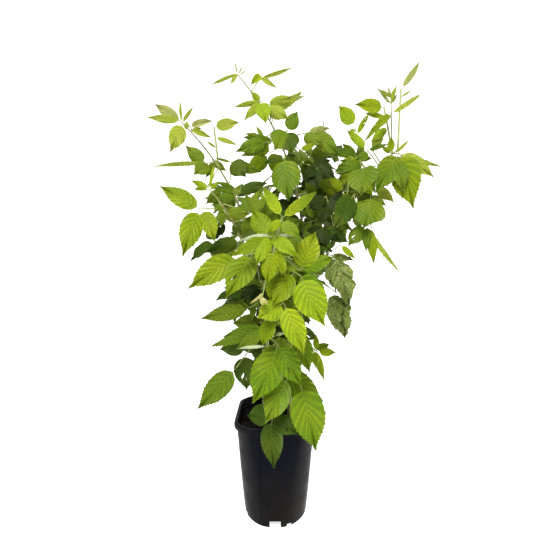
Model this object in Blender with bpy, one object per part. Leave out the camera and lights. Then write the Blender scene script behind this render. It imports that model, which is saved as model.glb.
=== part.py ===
"""A raspberry in its pot: a black nursery pot, its growing mix, seven canes and their leafy shoots.

Units are metres and +Z is up. The origin is the middle of the pot's underside, -Y is the front and
+X is the right. Each cane is one tapering limb. Each leafy shoot is one closed solid: a stem that
starts just clear of its cane, with leaflets fused to it.
"""
import math
import random

import bmesh
import bpy
from mathutils import Matrix, Vector
from mathutils.bvhtree import BVHTree

GAP = 0.0003                # clearance between pieces that touch
FRONT_LIGHT = Vector((0.0, -0.85, 0.53))   # the blades turn their faces this way

# The pot: square with round corners at the rim, round at the foot
POT_HEIGHT = 0.210
POT_WALL = 0.0018
RIM_HALF = 0.0855           # half the rim, across its flats
RIM_CORNER = 0.1010         # from the axis to the rim's round corner
RIM_DEPTH = 0.012
NECK_HALF = 0.0798          # the wall just under the rim
NECK_CORNER = 0.0950
FOOT_RADIUS = 0.0680
SKIRT = 0.0175              # the floor stands this high on its skirt
PAD_RADIUS = 0.0190         # the middle of the floor is pressed down to the ground
PAD_DRAFT = 0.0015          # the pad's side leans out by this much on its way up
RIM_EASE = 0.0012           # the rim's top edge is rounded off by this much
FOOT_LIP = 0.0004           # the skirt is this much thicker than the wall
POT_SIDES = 32
SLOT_WIDTH, SLOT_HEIGHT = 0.0225, 0.0140
SLOT_TURN = -90.5           # the first slot is at the front; angles are in degrees
NICK_WIDTH, NICK_HEIGHT = 0.0110, 0.0060
NICK_TURN = 25              # each nick is this far round from its slot
GROOVE_WIDTH, GROOVE_DEPTH = 0.0026, 0.0008
GROOVE_AT = -0.030
MIX_TOP = 0.190

# The canes: foot (x, y), waist (x, y, z) and tip (x, y, z), which each cane passes through
CANES = {
    "left_cane": ((-0.020, 0.000), (-0.048, -0.010, 0.570), (-0.185, -0.049, 0.815)),
    "left_front_cane": ((-0.026, -0.024), (-0.040, -0.052, 0.490), (-0.125, -0.079, 0.675)),
    "centre_cane": ((0.006, 0.010), (0.060, 0.018, 0.620), (-0.078, 0.001, 0.940)),
    "right_cane": ((0.030, -0.008), (0.088, -0.010, 0.520), (0.256, -0.020, 0.775)),
    "front_cane": ((0.000, -0.038), (-0.016, -0.095, 0.430), (0.009, -0.162, 0.603)),
    "back_cane": ((0.012, 0.032), (0.030, 0.080, 0.540), (0.070, 0.150, 0.800)),
    "back_left_cane": ((-0.016, 0.030), (-0.045, 0.075, 0.470), (-0.100, 0.120, 0.700)),
}
CANE_FOOT, CANE_TIP = 0.0044, 0.0013       # radii
CANE_FLARE = 1.25
CANE_STEPS = 12

STEM_ROOT, STEM_TIP = 0.0012, 0.0009       # radii of a shoot's stem
LEAF_THICKNESS = 0.014      # of a leaflet's length
STALK = 0.09                # a leaflet's own stalk, as a share of its length
STATIONS = (0.0, 0.04, 0.44, 1.0)          # where a leaflet's outline is measured, from its root
SOLVERS = ("EXACT", "MANIFOLD")
WHOLE_ENOUGH = 0.93         # a union that keeps this share of its pieces has lost no leaflet
ATTEMPTS, FEWER_AFTER = 30, 20      # how often a shoot may be grown again, and then with fewer leaves
STEM_TURN, LEAF_TURN = 6, 5         # the most that its stem and leaves then turn, in degrees
KNEE_ROUNDS = 6             # how often a stem's knee is set anew, so that it faces the stem's end
SINK = 0.0013               # how deep a leaflet's stalk runs into its stem
STAGGER = 0.0022            # the two leaflets of a pair leave their stalk this far apart
# A compound leaf by its leaflet count: each leaflet's turn from the midline and its place on the
# leaf's own stalk, from 0 at the stem to 1 at the end leaflet
FANS = {
    1: ((0, 1.0),),
    3: ((0, 1.0), (68, 0.0), (-68, 0.0)),
    5: ((0, 1.0), (62, 0.5), (-62, 0.5), (84, 0.0), (-84, 0.0)),
}
RACHIS = {1: 0.02, 3: 0.14, 5: 0.34}   # length of that stalk, as a share of the leaflet's

# The front view: a place is told by the column and row where it shows to an eye in front of the
# plant, on a square of 553 by 553, and by its depth behind the pot's axis in mm (minus is nearer)
EYE = Vector((0.0022, -0.690, 0.525))
EYE_STOOP = math.radians(1.459)            # the eye looks down by this much
VIEW_MIDDLE = 276.5
VIEW_SPREAD = 314.36        # columns that span as much as the eye is away

# The shoots that show from the front: name, cane, height along it, the place where the stem ends, the
# step from one leaf back to the next in mm, tone, seed, and the leaves, the furthest first. A leaf
# has the place of its tip, its leaflets and their width to length.
FRONT_SHOOTS = (
    ("left_tip", "left_cane", 1.00, (181, 121, -50), 1.6, "lime", 1, (
        (147, 117, -62, 1, 0.24), (155, 105, -40, 1, 0.32), (179, 101, -45, 1, 0.12),
        (192, 106, -50, 1, 0.18), (170, 152, -80, 1, 0.40), (190, 127, -66, 1, 0.50))),
    ("left_tip_side", "left_cane", 0.96, (190, 127, -55), 3, "lime", 2, (
        (213, 122, -52, 1, 0.28), (212, 139, -60, 1, 0.22), (202, 128, -44, 1, 0.26))),
    ("left_upper", "left_cane", 0.82, (214, 127, -44), 20, "green", 3, (
        (239, 122, -48, 1, 0.42), (238, 145, -50, 1, 0.19), (206, 141, -40, 1, 0.20))),
    ("left_side", "left_cane", 0.83, (205, 164, -50), 5, "dark", 4, (
        (186, 146, -50, 1, 0.52), (152, 163, -60, 1, 0.08), (194, 175, -56, 1, 0.70))),
    ("left_heart", "left_cane", 0.74, (232, 160, -36), 5, "dark", 5, (
        (245, 178, -50, 1, 0.72), (214, 158, -40, 1, 0.16), (262, 170, -36, 1, 0.34))),
    ("left_trio", "left_front_cane", 0.88, (199, 209, -118), 4, "lime", 6, (
        (180, 255, -150, 1, 0.40), (160, 187, -112, 1, 0.38), (217, 241, -132, 1, 0.42))),
    ("left_front_tip", "left_front_cane", 1.00, (208, 189, -80), 1.5, "lime", 7, (
        (192, 181, -78, 1, 0.34), (193, 190, -90, 1, 0.14), (214, 164, -70, 1, 0.12),
        (219, 181, -82, 1, 0.30))),
    ("left_front_side", "left_cane", 0.66, (237, 190, -48), 5, "dark", 8, (
        (208, 185, -56, 1, 0.36), (268, 183, -52, 1, 0.34), (211, 205, -64, 1, 0.42))),
    ("left_under", "left_front_cane", 0.80, (241, 241, -72), 5, "dark", 9, (
        (205, 250, -85, 1, 0.42), (263, 231, -70, 1, 0.46), (222, 240, -80, 1, 0.16),
        (232, 225, -80, 1, 0.56))),
    ("centre_tip", "centre_cane", 1.00, (236, 74, 0), 1.6, "lime", 10, (
        (210, 85, -10, 1, 0.11), (230, 84, -20, 1, 0.20), (235, 61, 0, 1, 0.10), (243, 65, 6, 1, 0.10),
        (229, 76, 0, 1, 0.40), (247, 69, 4, 1, 0.10))),
    ("centre_upper", "centre_cane", 0.945, (262, 76, 0), 3, "green", 11, (
        (251, 86, -6, 1, 0.44), (277, 91, -10, 1, 0.20), (293, 70, -4, 1, 0.11))),
    ("centre_fan", "centre_cane", 0.90, (262, 101, -10), 3, "green", 12, (
        (264, 124, -30, 1, 0.52), (233, 106, -16, 1, 0.17), (244, 121, -26, 1, 0.26),
        (251, 92, 0, 1, 0.46))),
    ("centre_fan_right", "centre_cane", 0.87, (267, 105, -10), 6, "green", 13, (
        (293, 98, -14, 1, 0.38), (290, 118, -26, 1, 0.44), (305, 93, -4, 1, 0.16))),
    ("centre_broad", "centre_cane", 0.79, (288, 131, -24), 3, "green", 14, (
        (273, 149, -50, 1, 0.80), (298, 112, -28, 1, 0.66), (294, 154, -50, 1, 0.60))),
    ("centre_left", "centre_cane", 0.76, (267, 142, -30), 14, "green", 15, (
        (236, 152, -42, 1, 0.42), (241, 158, -40, 1, 0.27), (243, 139, -20, 1, 0.30))),
    ("front_whorl", "front_cane", 0.92, (268, 236, -158), 2.4, "lime", 16, (
        (254, 210, -135, 1, 0.58), (256, 265, -184, 1, 0.42), (298, 257, -184, 1, 0.38),
        (239, 238, -170, 1, 0.18), (230, 257, -176, 1, 0.27), (299, 234, -172, 1, 0.12))),
    ("centre_droop", "centre_cane", 0.74, (285, 157, -50), 8, "green", 17, (
        (286, 201, -80, 1, 0.58), (264, 163, -50, 1, 0.30), (301, 163, -40, 1, 0.60))),
    ("centre_right", "centre_cane", 0.77, (311, 132, -8), 9, "green", 18, (
        (341, 153, -22, 1, 0.42), (330, 126, -6, 1, 0.28), (322, 146, -22, 1, 0.50))),
    ("right_heart", "right_cane", 0.86, (363, 166, -40), 5, "green", 20, (
        (364, 195, -66, 1, 0.86), (338, 166, -30, 1, 0.46), (345, 184, -44, 1, 0.50))),
    ("right_low", "right_cane", 0.70, (369, 226, -56), 4, "green", 21, (
        (376, 264, -70, 1, 0.24), (365, 252, -66, 1, 0.28), (396, 276, -76, 1, 0.08),
        (350, 247, -60, 1, 0.52))),
    ("right_tall", "right_cane", 1.00, (401, 89, 0), 20, "lime", 23, (
        (420, 63, 4, 1, 0.18), (412, 90, -2, 1, 0.14), (421, 96, -8, 1, 0.13))),
    ("right_second", "right_cane", 0.985, (384, 107, -16), 22, "green", 25, (
        (355, 107, -26, 1, 0.42), (364, 114, -10, 1, 0.22), (371, 142, -24, 1, 0.32))),
    ("right_arch", "right_cane", 0.985, (391, 98, -10), 17, "green", 180, (
        (377, 88, -14, 1, 0.14), (396, 86, -12, 1, 0.16), (364, 147, -50, 1, 0.13))),
    ("right_lime", "right_cane", 0.84, (355, 125, -4), 12, "lime", 27, (
        (338, 107, -4, 1, 0.58), (349, 131, -20, 1, 0.34), (368, 112, 10, 1, 0.16))),
    ("right_inner", "right_cane", 0.92, (366, 149, -36), 5, "green", 28, (
        (348, 129, -24, 1, 0.28), (388, 143, -34, 1, 0.20), (356, 161, -50, 1, 0.40))),
    ("right_palmate", "right_cane", 0.985, (400, 154, -40), 3, "green", 29, (
        (417, 206, -78, 1, 0.46), (373, 191, -70, 1, 0.40), (433, 177, -66, 1, 0.38),
        (400, 192, -74, 1, 0.36), (442, 169, -50, 1, 0.10), (409, 140, -36, 1, 0.20))),
    ("right_mid", "right_cane", 0.78, (354, 194, -52), 7, "dark", 30, (
        (333, 229, -74, 1, 0.48), (382, 205, -50, 1, 0.40), (338, 200, -40, 1, 0.40))),
    ("right_droop", "right_cane", 0.80, (371, 196, -52), 5, "green", 31, (
        (366, 228, -80, 1, 0.90), (386, 206, -60, 1, 0.44))),
    ("right_hanging", "right_cane", 0.56, (334, 256, -60), 8, "dark", 32, (
        (353, 305, -70, 1, 0.40), (336, 291, -60, 1, 0.46), (354, 259, -56, 1, 0.30))),
    ("right_curled", "right_cane", 0.47, (337, 293, -43), 6, "dark", 33, (
        (348, 337, -56, 1, 0.44), (338, 331, -60, 1, 0.40))),
    ("front_star", "front_cane", 1.00, (282, 217, -165), 2, "lime", 34, (
        (262, 188, -150, 1, 0.30), (317, 193, -150, 1, 0.24), (268, 233, -176, 1, 0.40),
        (299, 238, -176, 1, 0.50))),
    ("front_left", "front_cane", 0.84, (240, 257, -130), 24, "lime", 36, (
        (188, 286, -150, 1, 0.44), (230, 299, -166, 1, 0.50), (284, 271, -176, 1, 0.17))),
    ("front_right", "front_cane", 0.84, (300, 271, -148), 2, "lime", 37, (
        (314, 232, -140, 1, 0.60), (333, 257, -130, 1, 0.40), (284, 268, -160, 1, 0.30))),
    ("front_mid", "front_cane", 0.79, (301, 276, -156), 7, "lime", 38, (
        (320, 327, -184, 1, 0.58), (327, 304, -150, 1, 0.52), (271, 305, -168, 1, 0.52))),
    ("front_low", "front_cane", 0.64, (284, 304, -160), 3, "lime", 39, (
        (306, 353, -186, 1, 0.44), (258, 319, -172, 1, 0.74), (270, 330, -150, 1, 0.50))),
    ("low_left_upper", "front_cane", 0.60, (250, 308, -110), 5, "green", 40, (
        (201, 317, -112, 1, 0.32), (216, 310, -96, 1, 0.34), (251, 320, -124, 1, 0.40))),
    ("low_left_round", "front_cane", 0.42, (247, 344, -90), 5, "dark", 41, (
        (220, 348, -90, 1, 0.72), (226, 335, -80, 1, 0.30), (252, 352, -80, 1, 0.50))),
    ("low_left_lone", "left_front_cane", 0.30, (236, 368, -76), 34, "green", 42, (
        (199, 409, -86, 1, 0.42), (245, 389, -60, 1, 0.66))),
    ("bottom_left", "front_cane", 0.42, (278, 345, -122), 5, "lime", 43, (
        (258, 404, -150, 1, 0.54), (302, 385, -152, 1, 0.50), (262, 372, -110, 1, 0.50))),
    ("bottom_right", "front_cane", 0.27, (300, 384, -118), 28, "lime", 44, (
        (320, 448, -144, 1, 0.54), (263, 421, -146, 1, 0.56), (323, 400, -100, 1, 0.50))),
    ("bottom_mid", "front_cane", 0.53, (265, 330, -118), 4, "lime", 45, (
        (236, 349, -132, 1, 0.38), (222, 334, -108, 1, 0.26), (211, 351, -116, 1, 0.18))),
    ("pot_droop", "front_cane", 0.12, (272, 418, -100), 5, "green", 46, (
        (270, 467, -124, 1, 0.50), (298, 435, -116, 1, 0.55), (248, 416, -76, 1, 0.76))),
    ("low_sprout", "right_cane", 0.26, (318, 352, -60), 3, "green", 47, (
        (336, 352, -68, 1, 0.46), (315, 334, -50, 1, 0.36), (329, 343, -46, 1, 0.52),
        (316, 368, -70, 1, 0.40), (326, 380, -64, 1, 0.24))),
)

# The shoots behind: here the stem has a heading, a rise and a length in mm, and a leaf has its
# heading, rise, leaflet length in mm, leaflets, and their width to length. Headings turn from +X
# (right) towards +Y (back), so -90 faces the front. Angles are in degrees.
BACK_SHOOTS = (
    ("crown_right", "back_cane", 0.98, -34, 20, 82, 26, "dark", 19, (
        (-19, -22, 69, 5, 0.50), (-94, 46, 64, 5, 0.54))),
    ("back_top", "back_cane", 1.00, 90, 60, 10, 4, "green", 48, (
        (100, 20, 76, 5, 0.46), (-140, 20, 60, 3, 0.46), (20, 20, 70, 3, 0.46))),
    ("back_right", "back_cane", 0.82, 20, 10, 80, 30, "green", 49, (
        (25, -30, 86, 5, 0.50), (100, -20, 80, 3, 0.50))),
    ("back_middle", "back_cane", 0.66, 105, 5, 70, 28, "dark", 50, (
        (105, -35, 88, 5, 0.50), (30, -30, 80, 5, 0.50))),
    ("back_low", "back_cane", 0.42, 60, 5, 80, 30, "dark", 51, (
        (60, -40, 90, 5, 0.50), (130, -30, 80, 3, 0.50))),
    ("back_left_tip", "back_left_cane", 1.00, 130, 40, 10, 4, "green", 52, (
        (150, 5, 76, 5, 0.46), (60, 20, 70, 3, 0.44))),
    ("back_left_side", "back_left_cane", 0.78, 165, 5, 60, 24, "dark", 53, (
        (165, -35, 84, 5, 0.50), (90, -30, 80, 3, 0.50))),
    ("back_left_low", "back_left_cane", 0.50, 130, 0, 70, 28, "dark", 54, (
        (130, -40, 90, 5, 0.50), (-160, -40, 80, 3, 0.50))),
)
COLOURS = {                 # linear colour and roughness
    "lime": ((0.32, 0.50, 0.06), 0.55),
    "green": ((0.15, 0.31, 0.04), 0.55),
    "dark": ((0.05, 0.14, 0.02), 0.60),
    "bark": ((0.22, 0.20, 0.07), 0.65),
    "pot": ((0.012, 0.013, 0.015), 0.38),
    "mix": ((0.035, 0.022, 0.014), 0.95),
}


def clear_scene():
    for old in list(bpy.data.objects):
        bpy.data.objects.remove(old, do_unlink=True)


def material(name):
    """A plain finish for one kind of sub-part, made once and shared."""
    if name in bpy.data.materials:
        return bpy.data.materials[name]
    colour, roughness = COLOURS[name]
    made = bpy.data.materials.new(name)
    made.use_nodes = True
    shader = made.node_tree.nodes["Principled BSDF"]
    shader.inputs["Base Color"].default_value = (*colour, 1.0)
    shader.inputs["Roughness"].default_value = roughness
    shader.inputs["Metallic"].default_value = 0.0
    return made


def add_object(name, mesh, finish, home):
    made = bpy.data.objects.new(name, mesh)
    made.data.materials.clear()
    made.data.materials.append(material(finish))
    home.objects.link(made)
    return made


def mesh_from(bm, name):
    """The finished mesh, with its faces turned outward."""
    bmesh.ops.recalc_face_normals(bm, faces=bm.faces)
    mesh = bpy.data.meshes.new(name)
    bm.to_mesh(mesh)
    bm.free()
    return mesh


# The pot

def squared_ring(flat, corner, height, sides=POT_SIDES):
    """A ring that is a circle cut by four flats; it is round wherever the flats lie outside it."""
    ring = []
    for step in range(sides):
        angle = math.tau * (step + 0.5) / sides
        reach = min(corner, flat / max(abs(math.cos(angle)), abs(math.sin(angle))))
        ring.append(Vector((reach * math.cos(angle), reach * math.sin(angle), height)))
    return ring


def loft(rings, name):
    """A closed skin through the rings in turn, with its two ends filled.

    Each four-sided face is split so that the skin bulges outward, and every skin is split alike.
    """
    bm = bmesh.new()
    rows = [[bm.verts.new(point) for point in ring] for ring in rings]
    for lower, upper in zip(rows, rows[1:]):
        rising = lower[0].co.z <= upper[0].co.z
        for step in range(len(lower)):
            after = (step + 1) % len(lower)
            corner_is_ahead = math.sin(4 * math.tau * after / len(lower)) > 0
            near, far = (step, after) if corner_is_ahead == rising else (after, step)
            bm.faces.new((lower[step], lower[after], upper[far]))
            bm.faces.new((upper[after], upper[step], lower[near]))
    bm.faces.new(rows[0])
    bm.faces.new(rows[-1])
    return mesh_from(bm, name)


def wall_at(height, inset=0.0):
    """The wall's flats and corner at a height: square under the rim, round at the foot."""
    up = height / (POT_HEIGHT - RIM_DEPTH)
    flat = FOOT_RADIUS + (NECK_HALF - FOOT_RADIUS) * up
    corner = FOOT_RADIUS + (NECK_CORNER - FOOT_RADIUS) * up
    return flat - inset, corner - inset, height


def build_pot(home, cutters):
    under_rim = POT_HEIGHT - RIM_DEPTH
    floor_top = SKIRT + POT_WALL
    profile = [
        (PAD_RADIUS, PAD_RADIUS, 0.0),
        (PAD_RADIUS + PAD_DRAFT, PAD_RADIUS + PAD_DRAFT, SKIRT),
        wall_at(SKIRT, POT_WALL + FOOT_LIP),
        wall_at(0.0, POT_WALL + FOOT_LIP),
        wall_at(0.0),
        wall_at(under_rim * 0.5),
        wall_at(under_rim),
        (RIM_HALF - RIM_EASE / 2, RIM_CORNER - RIM_EASE / 2, under_rim),
        (RIM_HALF, RIM_CORNER, POT_HEIGHT - RIM_EASE),
        (RIM_HALF - RIM_EASE, RIM_CORNER - RIM_EASE, POT_HEIGHT),
        (NECK_HALF - POT_WALL + RIM_EASE, NECK_CORNER - POT_WALL + RIM_EASE, POT_HEIGHT),
        wall_at(under_rim, POT_WALL),
        wall_at(MIX_TOP, POT_WALL),
        wall_at(under_rim * 0.5, POT_WALL),
        wall_at(floor_top, POT_WALL),
        (PAD_RADIUS + PAD_DRAFT - POT_WALL, PAD_RADIUS + PAD_DRAFT - POT_WALL, floor_top),
        (PAD_RADIUS - POT_WALL, PAD_RADIUS - POT_WALL, POT_WALL),
    ]
    pot = add_object("pot", loft([squared_ring(*row) for row in profile], "pot"), "pot", home)
    for turn in range(0, 360, 90):
        cut_slot(pot, cutters, turn + SLOT_TURN, SLOT_WIDTH, SLOT_HEIGHT)
        cut_slot(pot, cutters, turn + SLOT_TURN + NICK_TURN, NICK_WIDTH, NICK_HEIGHT)
    cut_groove(pot, cutters)
    return pot


def cutter_box(name, size, place, turn, cutters):
    bm = bmesh.new()
    bmesh.ops.create_cube(bm, size=1.0)
    bmesh.ops.scale(bm, vec=size, verts=bm.verts)
    box = bpy.data.objects.new(name, mesh_from(bm, name))
    box.matrix_world = Matrix.Rotation(turn, 4, "Z") @ Matrix.Translation(place)
    box.hide_render = True
    box.display_type = "WIRE"
    cutters.objects.link(box)
    return box


def cut(target, cutter):
    step = target.modifiers.new(cutter.name, "BOOLEAN")
    step.operation = "DIFFERENCE"
    step.solver = "EXACT"
    step.object = cutter


def cut_slot(pot, cutters, angle, width, height):
    """A drainage slot through the skirt, open at the bottom."""
    size = (0.014, width, height * 2)
    place = (FOOT_RADIUS, 0.0, 0.0)
    cut(pot, cutter_box(f"slot_{angle:.0f}", size, place, math.radians(angle), cutters))


def cut_groove(pot, cutters):
    """The moulded groove down the pot's front."""
    flat_low, _, low = wall_at(0.026)
    flat_high, _, high = wall_at(POT_HEIGHT - RIM_DEPTH - 0.004)
    bm = bmesh.new()
    bmesh.ops.create_cube(bm, size=1.0)
    for corner in bm.verts:
        top = corner.co.z > 0
        flat = flat_high if top else flat_low - 0.004
        depth = -flat + GROOVE_DEPTH if corner.co.y > 0 else -flat - 0.010
        corner.co = Vector((GROOVE_AT + corner.co.x * GROOVE_WIDTH, depth, high if top else low))
    groove = bpy.data.objects.new("groove", mesh_from(bm, "groove"))
    groove.hide_render = True
    groove.display_type = "WIRE"
    cutters.objects.link(groove)
    cut(pot, groove)


def build_mix(home):
    """The growing mix fills the pot to a finger's width under its rim."""
    floor = SKIRT + POT_WALL + GAP
    inset = POT_WALL + GAP * 1.5
    rings = [
        squared_ring(PAD_RADIUS - inset, PAD_RADIUS - inset, POT_WALL + GAP),
        squared_ring(PAD_RADIUS + PAD_DRAFT - inset, PAD_RADIUS + PAD_DRAFT - inset, floor),
        squared_ring(*wall_at(floor, inset)),
        squared_ring(*wall_at((POT_HEIGHT - RIM_DEPTH) * 0.5, inset)),
        squared_ring(*wall_at(MIX_TOP, inset)),
    ]
    return add_object("growing_mix", loft(rings, "growing_mix"), "mix", home)


# The canes

def cane_point(name, along):
    """A point on a cane's arc, which starts at the mix, passes the waist and ends at the tip."""
    (foot_x, foot_y), waist, tip = CANES[name]
    foot = Vector((foot_x, foot_y, MIX_TOP + GAP))
    waist, tip = Vector(waist), Vector(tip)
    pull = 2 * waist - (foot + tip) / 2
    return (1 - along) ** 2 * foot + 2 * along * (1 - along) * pull + along ** 2 * tip


def cane_chord(name, along):
    """The two ends of the straight stretch of the cane's skin at this height, and the share along it."""
    place = min(along, 1.0) * CANE_STEPS
    low = min(int(place), CANE_STEPS - 1)
    return cane_point(name, low / CANE_STEPS), cane_point(name, (low + 1) / CANE_STEPS), place - low


def cane_radius(along):
    return CANE_FOOT + (CANE_TIP - CANE_FOOT) * along


def build_cane(name, home):
    """A cane is a bevelled curve; its first stretch is upright, so its foot is cut level."""
    points = [(cane_point(name, 0.0), CANE_FOOT * CANE_FLARE)]
    points.append((cane_point(name, 0.0) + Vector((0, 0, 0.008)), CANE_FOOT * 1.05))
    for step in range(1, CANE_STEPS + 1):
        along = step / CANE_STEPS
        points.append((cane_point(name, along), cane_radius(along)))
    curve = bpy.data.curves.new(name, "CURVE")
    curve.dimensions = "3D"
    curve.bevel_depth = 1.0
    curve.bevel_resolution = 1
    curve.use_fill_caps = True
    spline = curve.splines.new("POLY")
    spline.points.add(len(points) - 1)
    for slot, (place, radius) in zip(spline.points, points):
        slot.co = (*place, 1.0)
        slot.radius = radius
    guide = bpy.data.objects.new(name + "_curve", curve)
    home.objects.link(guide)
    bpy.context.view_layer.update()
    mesh = bpy.data.meshes.new_from_object(guide.evaluated_get(bpy.context.evaluated_depsgraph_get()))
    cane = add_object(name, mesh, "bark", home)
    cane.matrix_world = guide.matrix_world
    bpy.data.objects.remove(guide)
    bm = bmesh.new()
    bm.from_mesh(mesh)
    bmesh.ops.remove_doubles(bm, verts=bm.verts, dist=0.00001)
    bmesh.ops.recalc_face_normals(bm, faces=bm.faces)
    bm.to_mesh(mesh)
    bm.free()
    mesh.shade_smooth()
    mesh.set_sharp_from_angle(angle=math.radians(60))
    return cane


# Leaves and shoots

def towards(heading, rise):
    """The unit direction with this heading and rise, both in degrees."""
    turn, lift = math.radians(heading), math.radians(rise)
    return Vector((math.cos(turn) * math.cos(lift), math.sin(turn) * math.cos(lift), math.sin(lift)))


def facing(direction, place):
    """The way a blade's upper side looks: to the light and a little outward, square to its rib."""
    outward = Vector((place.x, place.y, 0.0))
    if outward.length > 0.001:
        outward.normalize()
    wish = FRONT_LIGHT + 0.30 * outward
    square = wish - wish.dot(direction) * direction
    return square.normalized()


def half_width(along):
    """A raspberry leaflet's outline: a short stalk, round shoulders and a drawn-out tip."""
    if along <= STALK:
        return 0.0
    share = (along - STALK) / (1.0 - STALK)
    return math.sin(math.pi * share ** 0.74) ** 0.85 * (1.0 - 0.10 * share)


def blade(root, direction, normal, length, width, curl, swell=0.0):
    """A leaflet as a flattened sphere: thin at its edge, folded up a little from its rib."""
    side = direction.cross(normal)
    bm = bmesh.new()
    bmesh.ops.create_uvsphere(bm, u_segments=4, v_segments=3, radius=1.0)
    thick = max(length * LEAF_THICKNESS, 0.0010) / 2 + swell
    edge_places = {}
    for corner in bm.verts:
        ring = round(math.acos(max(-1.0, min(1.0, corner.co.z))) / (math.pi / 3))
        along = STATIONS[ring]
        flat = Vector((corner.co.x, corner.co.y))
        if flat.length > 0.01:
            flat.normalize()
        edge_places[corner] = (ring, abs(flat.x) > 0.5)
        across = flat.x * (half_width(along) * length * width / 2 + 0.0006 + swell)
        lift = flat.y * thick + 0.22 * abs(across) - curl * length * along ** 2
        corner.co = root + direction * (along * length) + side * across + normal * lift
    split_alike(bm, edge_places)
    return bm


def split_alike(bm, edge_places):
    """Each four-sided face is split from its edge to its rib, so the two sides never cross."""
    for face in [face for face in bm.faces if len(face.verts) == 4]:
        near_edge = [corner for corner in face.verts if edge_places[corner] == (1, True)]
        far_rib = [corner for corner in face.verts if edge_places[corner] == (2, False)]
        bmesh.utils.face_split(face, near_edge[0], far_rib[0])


def twig(points, root_radius, tip_radius):
    """A three-sided stalk through the points: its end face is drawn out from point to point."""
    bm = bmesh.new()
    bmesh.ops.create_cone(bm, cap_ends=True, segments=3, radius1=1.0, radius2=1.0, depth=1.0)
    lower = [corner for corner in bm.verts if corner.co.z < 0]
    upper = [corner for corner in bm.verts if corner.co.z > 0]
    flat = [Vector((corner.co.x, corner.co.y, 0.0)) for corner in lower]

    def seat(corners, step):
        ahead = points[min(step + 1, len(points) - 1)] - points[max(step - 1, 0)]
        turn = ahead.to_track_quat("Z", "Y")
        radius = root_radius + (tip_radius - root_radius) * step / (len(points) - 1)
        for corner, rest in zip(corners, flat):
            corner.co = points[step] + turn @ (rest * radius)

    upper.sort(key=lambda corner: min(range(3), key=lambda n: (flat[n].xy - corner.co.xy).length))
    seat(lower, 0)
    end = next(face for face in bm.faces if set(face.verts) == set(upper))
    for step in range(1, len(points)):
        if step > 1:
            grown = bmesh.ops.extrude_discrete_faces(bm, faces=[end])["faces"][0]
            partner = {old: new for new in grown.verts for old in upper
                       if (new.co - old.co).length < 1e-7}
            upper = [partner[old] for old in upper]
            end = grown
        seat(upper, step)
    return bm


def tree_of(bm):
    return BVHTree.FromBMesh(bm)


def is_free(bm, taken):
    probe = tree_of(bm)
    return not any(probe.overlap(other) for other in taken)


def stays_inside(bm, middle, reach):
    return all((corner.co - middle).length < reach and corner.co.z > 0.02 for corner in bm.verts)


def nudges(rng, tries=9, most=26):
    """Small turns of heading and rise, the first of them none."""
    yield 0.0, 0.0
    for step in range(1, tries):
        size = most * step / tries
        yield rng.uniform(-size, size), rng.uniform(-size, size)


def add_leaf(pieces, others, siblings, space, root, leaf, rng):
    """One compound leaf: an end leaflet and pairs beside it, each kept clear of its neighbours."""
    heading, rise, length_mm, leaflets, width = leaf
    length = length_mm / 1000
    main = towards(heading, rise)
    normal = facing(main, root)
    rachis = main * (RACHIS[leaflets] * length)
    if leaflets > 1:
        stalk = [root - main * SINK, root + rachis]
        if not is_free(twig(stalk, STEM_TIP + GAP, STEM_TIP + GAP), others):
            return
        pieces.append(twig(stalk, STEM_TIP * 0.9, STEM_TIP * 0.8))
    for index, (angle, place) in enumerate(FANS[leaflets]):
        size = length * (1.0 if index == 0 else (0.90 - 0.04 * (index // 2)) * rng.uniform(0.92, 1.04))
        lean = angle + (rng.uniform(-9, 9) if index else 0)
        curl = rng.uniform(0.04, 0.14)
        roll = rng.uniform(-16, 16)
        for turn, tip in nudges(rng):
            way = Matrix.Rotation(math.radians(lean + turn), 3, normal) @ main
            way = (way + Vector((0, 0, math.radians(tip) - (0.10 if index else 0.0)))).normalized()
            up = Matrix.Rotation(math.radians(roll), 3, way) @ facing(way, root)
            start = root + rachis * place + main * (STAGGER * (index % 2) - SINK) - way * SINK
            room = blade(start, way, up, size, width, curl, swell=GAP * 1.6)
            free_end = blade(start + way * size * 0.10, way, up, size, width, curl, swell=GAP)
            clear = is_free(room, others) and is_free(free_end, siblings)
            if clear and stays_inside(room, *space):
                pieces.append(blade(start, way, up, size, width, curl))
                siblings.append(tree_of(free_end))
                break


def seen(column, row, depth):
    """The place that shows at this column and row of the front view, at this depth."""
    across, up = (column - VIEW_MIDDLE) / VIEW_SPREAD, (VIEW_MIDDLE - row) / VIEW_SPREAD
    ahead, above = math.cos(EYE_STOOP), math.sin(EYE_STOOP)
    sight = Vector((across, ahead + up * above, up * ahead - above))
    return EYE + sight * ((depth / 1000 - EYE.y) / sight.y)


def aim(start, end):
    """The heading and rise from one place to another in whole degrees, and the distance in mm."""
    line = end - start
    heading = math.degrees(math.atan2(line.y, line.x))
    rise = math.degrees(math.asin(line.z / line.length))
    return round(heading), round(rise), round(line.length * 1000)


def aimed_shoot(row):
    """A front shoot in the form of the ones behind: its places give its headings and lengths."""
    name, cane, along, end_place, step_mm, tone, seed, leaves = row
    end = seen(*end_place)
    knee = cane_point(cane, along)
    for _ in range(KNEE_ROUNDS):
        knee = leave_cane(cane, along, (end - knee).normalized(), (end - knee).length)[1]
    back = (knee - end).normalized()
    aimed = []
    for number, (*tip, leaflets, width) in enumerate(leaves):
        root = end + back * (step_mm / 1000 * number + SINK)
        aimed.append((*aim(root, seen(*tip)), leaflets, width))
    return name, cane, along, *aim(knee, end), step_mm, tone, seed, tuple(aimed)


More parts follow.
